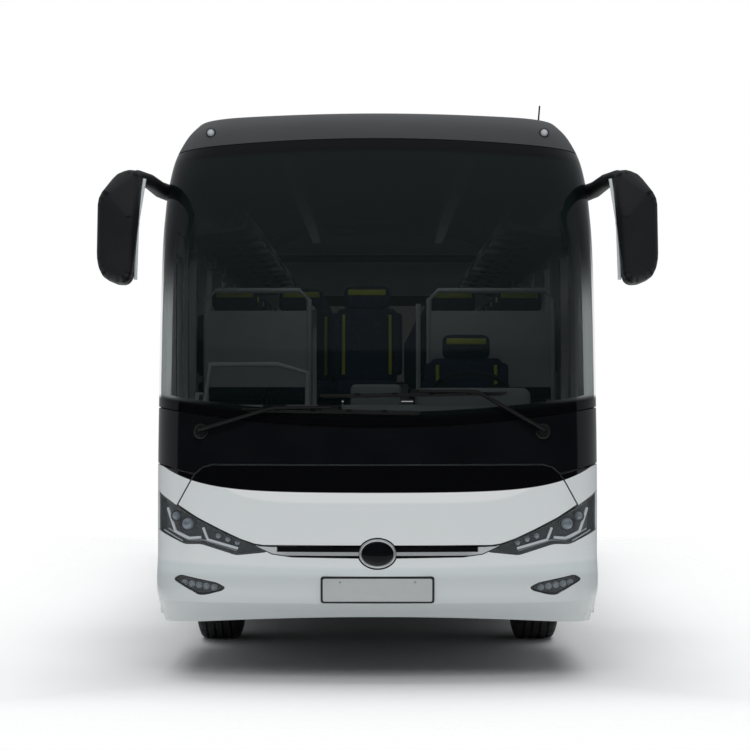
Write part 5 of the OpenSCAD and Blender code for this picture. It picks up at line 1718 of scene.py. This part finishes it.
def seat(cushions, frames, x, y, z, width):
    """Adds one seat that faces the nose: cloth and trim to the cushions, the rest to the frames."""
    tilt = Matrix.Rotation(math.radians(SEAT_LEAN), 4, "X")
    lean = Matrix.Translation((x, y + 0.45, z + CUSHION_TOP)) @ tilt
    hw = width / 2 - 0.012
    top = SEAT_TALL - CUSHION_TOP

    def back(low, high, bevel, segments=3):
        return placed(lambda b: box(b, low, high, bevel, segments), lean)

    add(cushions, lambda b: box(b, (x - hw, y + 0.01, z + 0.35), (x + hw, y + 0.47, z + 0.475), 0.045, 3))
    add(cushions, back((-hw, -0.055, 0.0), (hw, 0.05, top - 0.16), 0.04))
    for edge in (-hw, hw):
        add(cushions, back((edge - 0.035, -0.085, 0.06), (edge + 0.035, 0.03, top - 0.2), 0.028))
    add(cushions, back((-0.15, -0.07, top - 0.17), (0.15, 0.045, top - 0.01), 0.045))
    for line in (0.045 - hw, hw - 0.045):
        piping = [(line, -0.075, 0.05), (line, -0.078, top - 0.22)]
        add(cushions, placed(lambda b: rod(b, piping, 0.011, 8), lean), 1)
    add(cushions, back((-0.125, -0.078, top - 0.085), (0.125, -0.062, top - 0.045), 0.006, 2), 1)
    add(frames, lambda b: box(b, (x - hw * 0.75, y + 0.14, z), (x + hw * 0.75, y + 0.33, z + 0.35), 0.01))
    add(frames, back((-hw + 0.01, 0.045, 0.02), (hw - 0.01, 0.066, top - 0.17), 0.01, 2))


class COACH_OT_cabin(bpy.types.Operator):
    """Builds seats, dashboard parts, rails, ceiling vents and lamps"""

    bl_idname = "coach.cabin"
    bl_label = "Cabin"

    def execute(self, context):
        for name, side, first in (("left", 1, -3.62), ("right", -1, -3.70)):
            self.seats(f"seats_{name}", [
                (side * (PAIR_X + off), first + ROW_PITCH * i, DECK, SEAT_WIDTH)
                for i in range(ROWS) for off in (-SEAT_WIDTH / 2, SEAT_WIDTH / 2)])
        self.seats("crew_seats", [(0.56, -4.78, PLATFORM, 0.48), (-0.07, -4.06, DECK, 0.42)])
        self.dash()
        self.rails()
        self.ceiling()
        return {"FINISHED"}

    def seats(self, node, places):
        cushions, frames = bmesh.new(), bmesh.new()
        for place in places:
            seat(cushions, frames, *place)
        pads = piece(node + "_pads", cushions, ["seat_cloth", "seat_trim"],
                     replaces=[node])
        piece(node + "_frames", frames, "black_plastic")

    def dash(self):
        """Instrument hood with dials, middle screen, air outlets, switches and guide's shelf."""
        bm = bmesh.new()

        def block(low, high, bevel, segments=2, material=0):
            add(bm, lambda b: box(b, low, high, bevel, segments), material)

        block((0.22, -5.34, 1.50), (0.90, -5.10, 1.66), 0.05, 4)
        block((0.27, -5.108, 1.53), (0.85, -5.094, 1.635), 0.006, material=1)
        for x in (0.40, 0.72):
            add(bm, lambda b: lathe(b, DIAL, (x, -5.098, 1.583), "Y", 28), 2)
        block((-0.16, -5.30, 1.50), (0.14, -5.16, 1.68), 0.03, 3)
        block((-0.13, -5.165, 1.53), (0.11, -5.155, 1.655), 0.004, material=1)
        for x in (-0.95, -0.6, -0.28, 0.98):
            block((x - 0.07, -5.42, 1.53), (x + 0.07, -5.36, 1.56), 0.008, material=3)
        for k in range(8):
            x = -0.14 + 0.032 * k
            block((x, -5.128, 1.40), (x + 0.025, -5.108, 1.44), 0.004, material=3)
        block((-1.05, -5.20, 1.30), (-0.30, -5.10, 1.46), 0.03, 3)
        piece("dash_parts", bm, ["cabin_plastic", "screen_dark", "chrome", "black_plastic"])

    def rails(self):
        bm = bmesh.new()
        for path in RAILS:
            add(bm, lambda b: rod(b, path, 0.016, 10))
        piece("grab_rails", bm, "guard_steel")

    def ceiling(self):
        """Air outlets over the seats, strip lamps and rack rails."""
        bm = bmesh.new()
        for i in range(ROWS):
            y = -3.3 + ROW_PITCH * i
            for x in (-0.95, 0.95):
                add(bm, lambda b: box(b, (x - 0.16, y - 0.11, 2.655), (x + 0.16, y + 0.11, 2.69), 0.012))
                for off in (-0.07, 0.07):
                    add(bm, lambda b: lathe(b, VENT, (x + off, y, 2.657), "Z", 16), 1)
        for side in (-1, 1):
            x, rail = side * 0.62, [(side * 0.845, -3.85, 2.79), (side * 0.845, 5.3, 2.79)]
            add(bm, lambda b: box(b, (x - 0.04, -3.7, 3.185), (x + 0.04, 5.2, 3.2), 0.004), 2)
            add(bm, lambda b: rod(b, rail, 0.012, 8), 3)
        piece("ceiling_parts", bm, ["cabin_plastic", "black_plastic", "lamp_white", "guard_steel"])


STEPS = (
    COACH_OT_materials,
    COACH_OT_smooth,
    COACH_OT_front,
    COACH_OT_rear,
    COACH_OT_lamps,
    COACH_OT_trim,
    COACH_OT_mirrors,
    COACH_OT_sides,
    COACH_OT_roof,
    COACH_OT_tail,
    COACH_OT_wheels,
    COACH_OT_cabin,
    COACH_OT_stage,
)


# Settings


class CoachPaint(bpy.types.PropertyGroup):
    """Colours and tints of the coach."""

    white: FloatVectorProperty(
        name="White", description="Body paint", default=(0.78, 0.83, 0.84), min=0, max=1, subtype="COLOR")
    black: FloatVectorProperty(
        name="Black", description="Gloss black zones", default=(0.003, 0.003, 0.004), min=0, max=1,
        subtype="COLOR")
    cap: FloatVectorProperty(
        name="Cap", description="Roof cap over the windscreen", default=(0.036, 0.038, 0.041), min=0, max=1,
        subtype="COLOR")
    screen_tint: FloatProperty(
        name="Windscreen tint", description="How much the windscreen darkens", default=0.37, min=0, max=1,
        subtype="FACTOR")
    side_tint: FloatProperty(
        name="Side glass tint", description="How much the side glass darkens", default=0.8, min=0, max=1,
        subtype="FACTOR")


class CoachStage(bpy.types.PropertyGroup):
    """Camera and light."""

    distance: FloatProperty(
        name="Camera distance", description="From the origin to the camera", default=19.5, unit="LENGTH")
    height: FloatProperty(name="Camera height", description="Above the floor", default=1.6, unit="LENGTH")
    lens: FloatProperty(
        name="Lens", description="Focal length in millimetres", default=115.92, unit="CAMERA")
    sky: FloatProperty(name="Sky", description="Strength of the even light", default=0.34, min=0)
    top: FloatProperty(
        name="Top light", description="Power of the soft light above", default=1050.0, min=0, unit="POWER")
    front: FloatProperty(
        name="Front light", description="Power of the soft light ahead of the coach", default=440.0, min=0,
        unit="POWER")
    cabin: FloatProperty(
        name="Cabin light", description="Power of each lamp in the cabin", default=3.4, min=0, unit="POWER")


class COACH_PT_sidebar(bpy.types.Panel):
    """The coach's steps in the order they run."""

    bl_label = "Coach bus"
    bl_idname = "COACH_PT_sidebar"
    bl_space_type = "VIEW_3D"
    bl_region_type = "UI"
    bl_category = "Coach"

    def draw(self, context):
        for group in (context.scene.coach_paint, context.scene.coach_stage):
            column = self.layout.column()
            for name in group.__annotations__:
                column.prop(group, name)
        for step in STEPS:
            self.layout.operator(step.bl_idname)


CLASSES = (CoachPaint, CoachStage, *STEPS, COACH_PT_sidebar)


def register():
    for cls in CLASSES:
        bpy.utils.register_class(cls)
    bpy.types.Scene.coach_paint = PointerProperty(type=CoachPaint)
    bpy.types.Scene.coach_stage = PointerProperty(type=CoachStage)


def unregister():
    del bpy.types.Scene.coach_stage
    del bpy.types.Scene.coach_paint
    for cls in reversed(CLASSES):
        bpy.utils.unregister_class(cls)


def main():
    register()
    for step in STEPS:
        group, name = step.bl_idname.split(".")
        getattr(getattr(bpy.ops, group), name)()


if __name__ == "__main__":
    main()
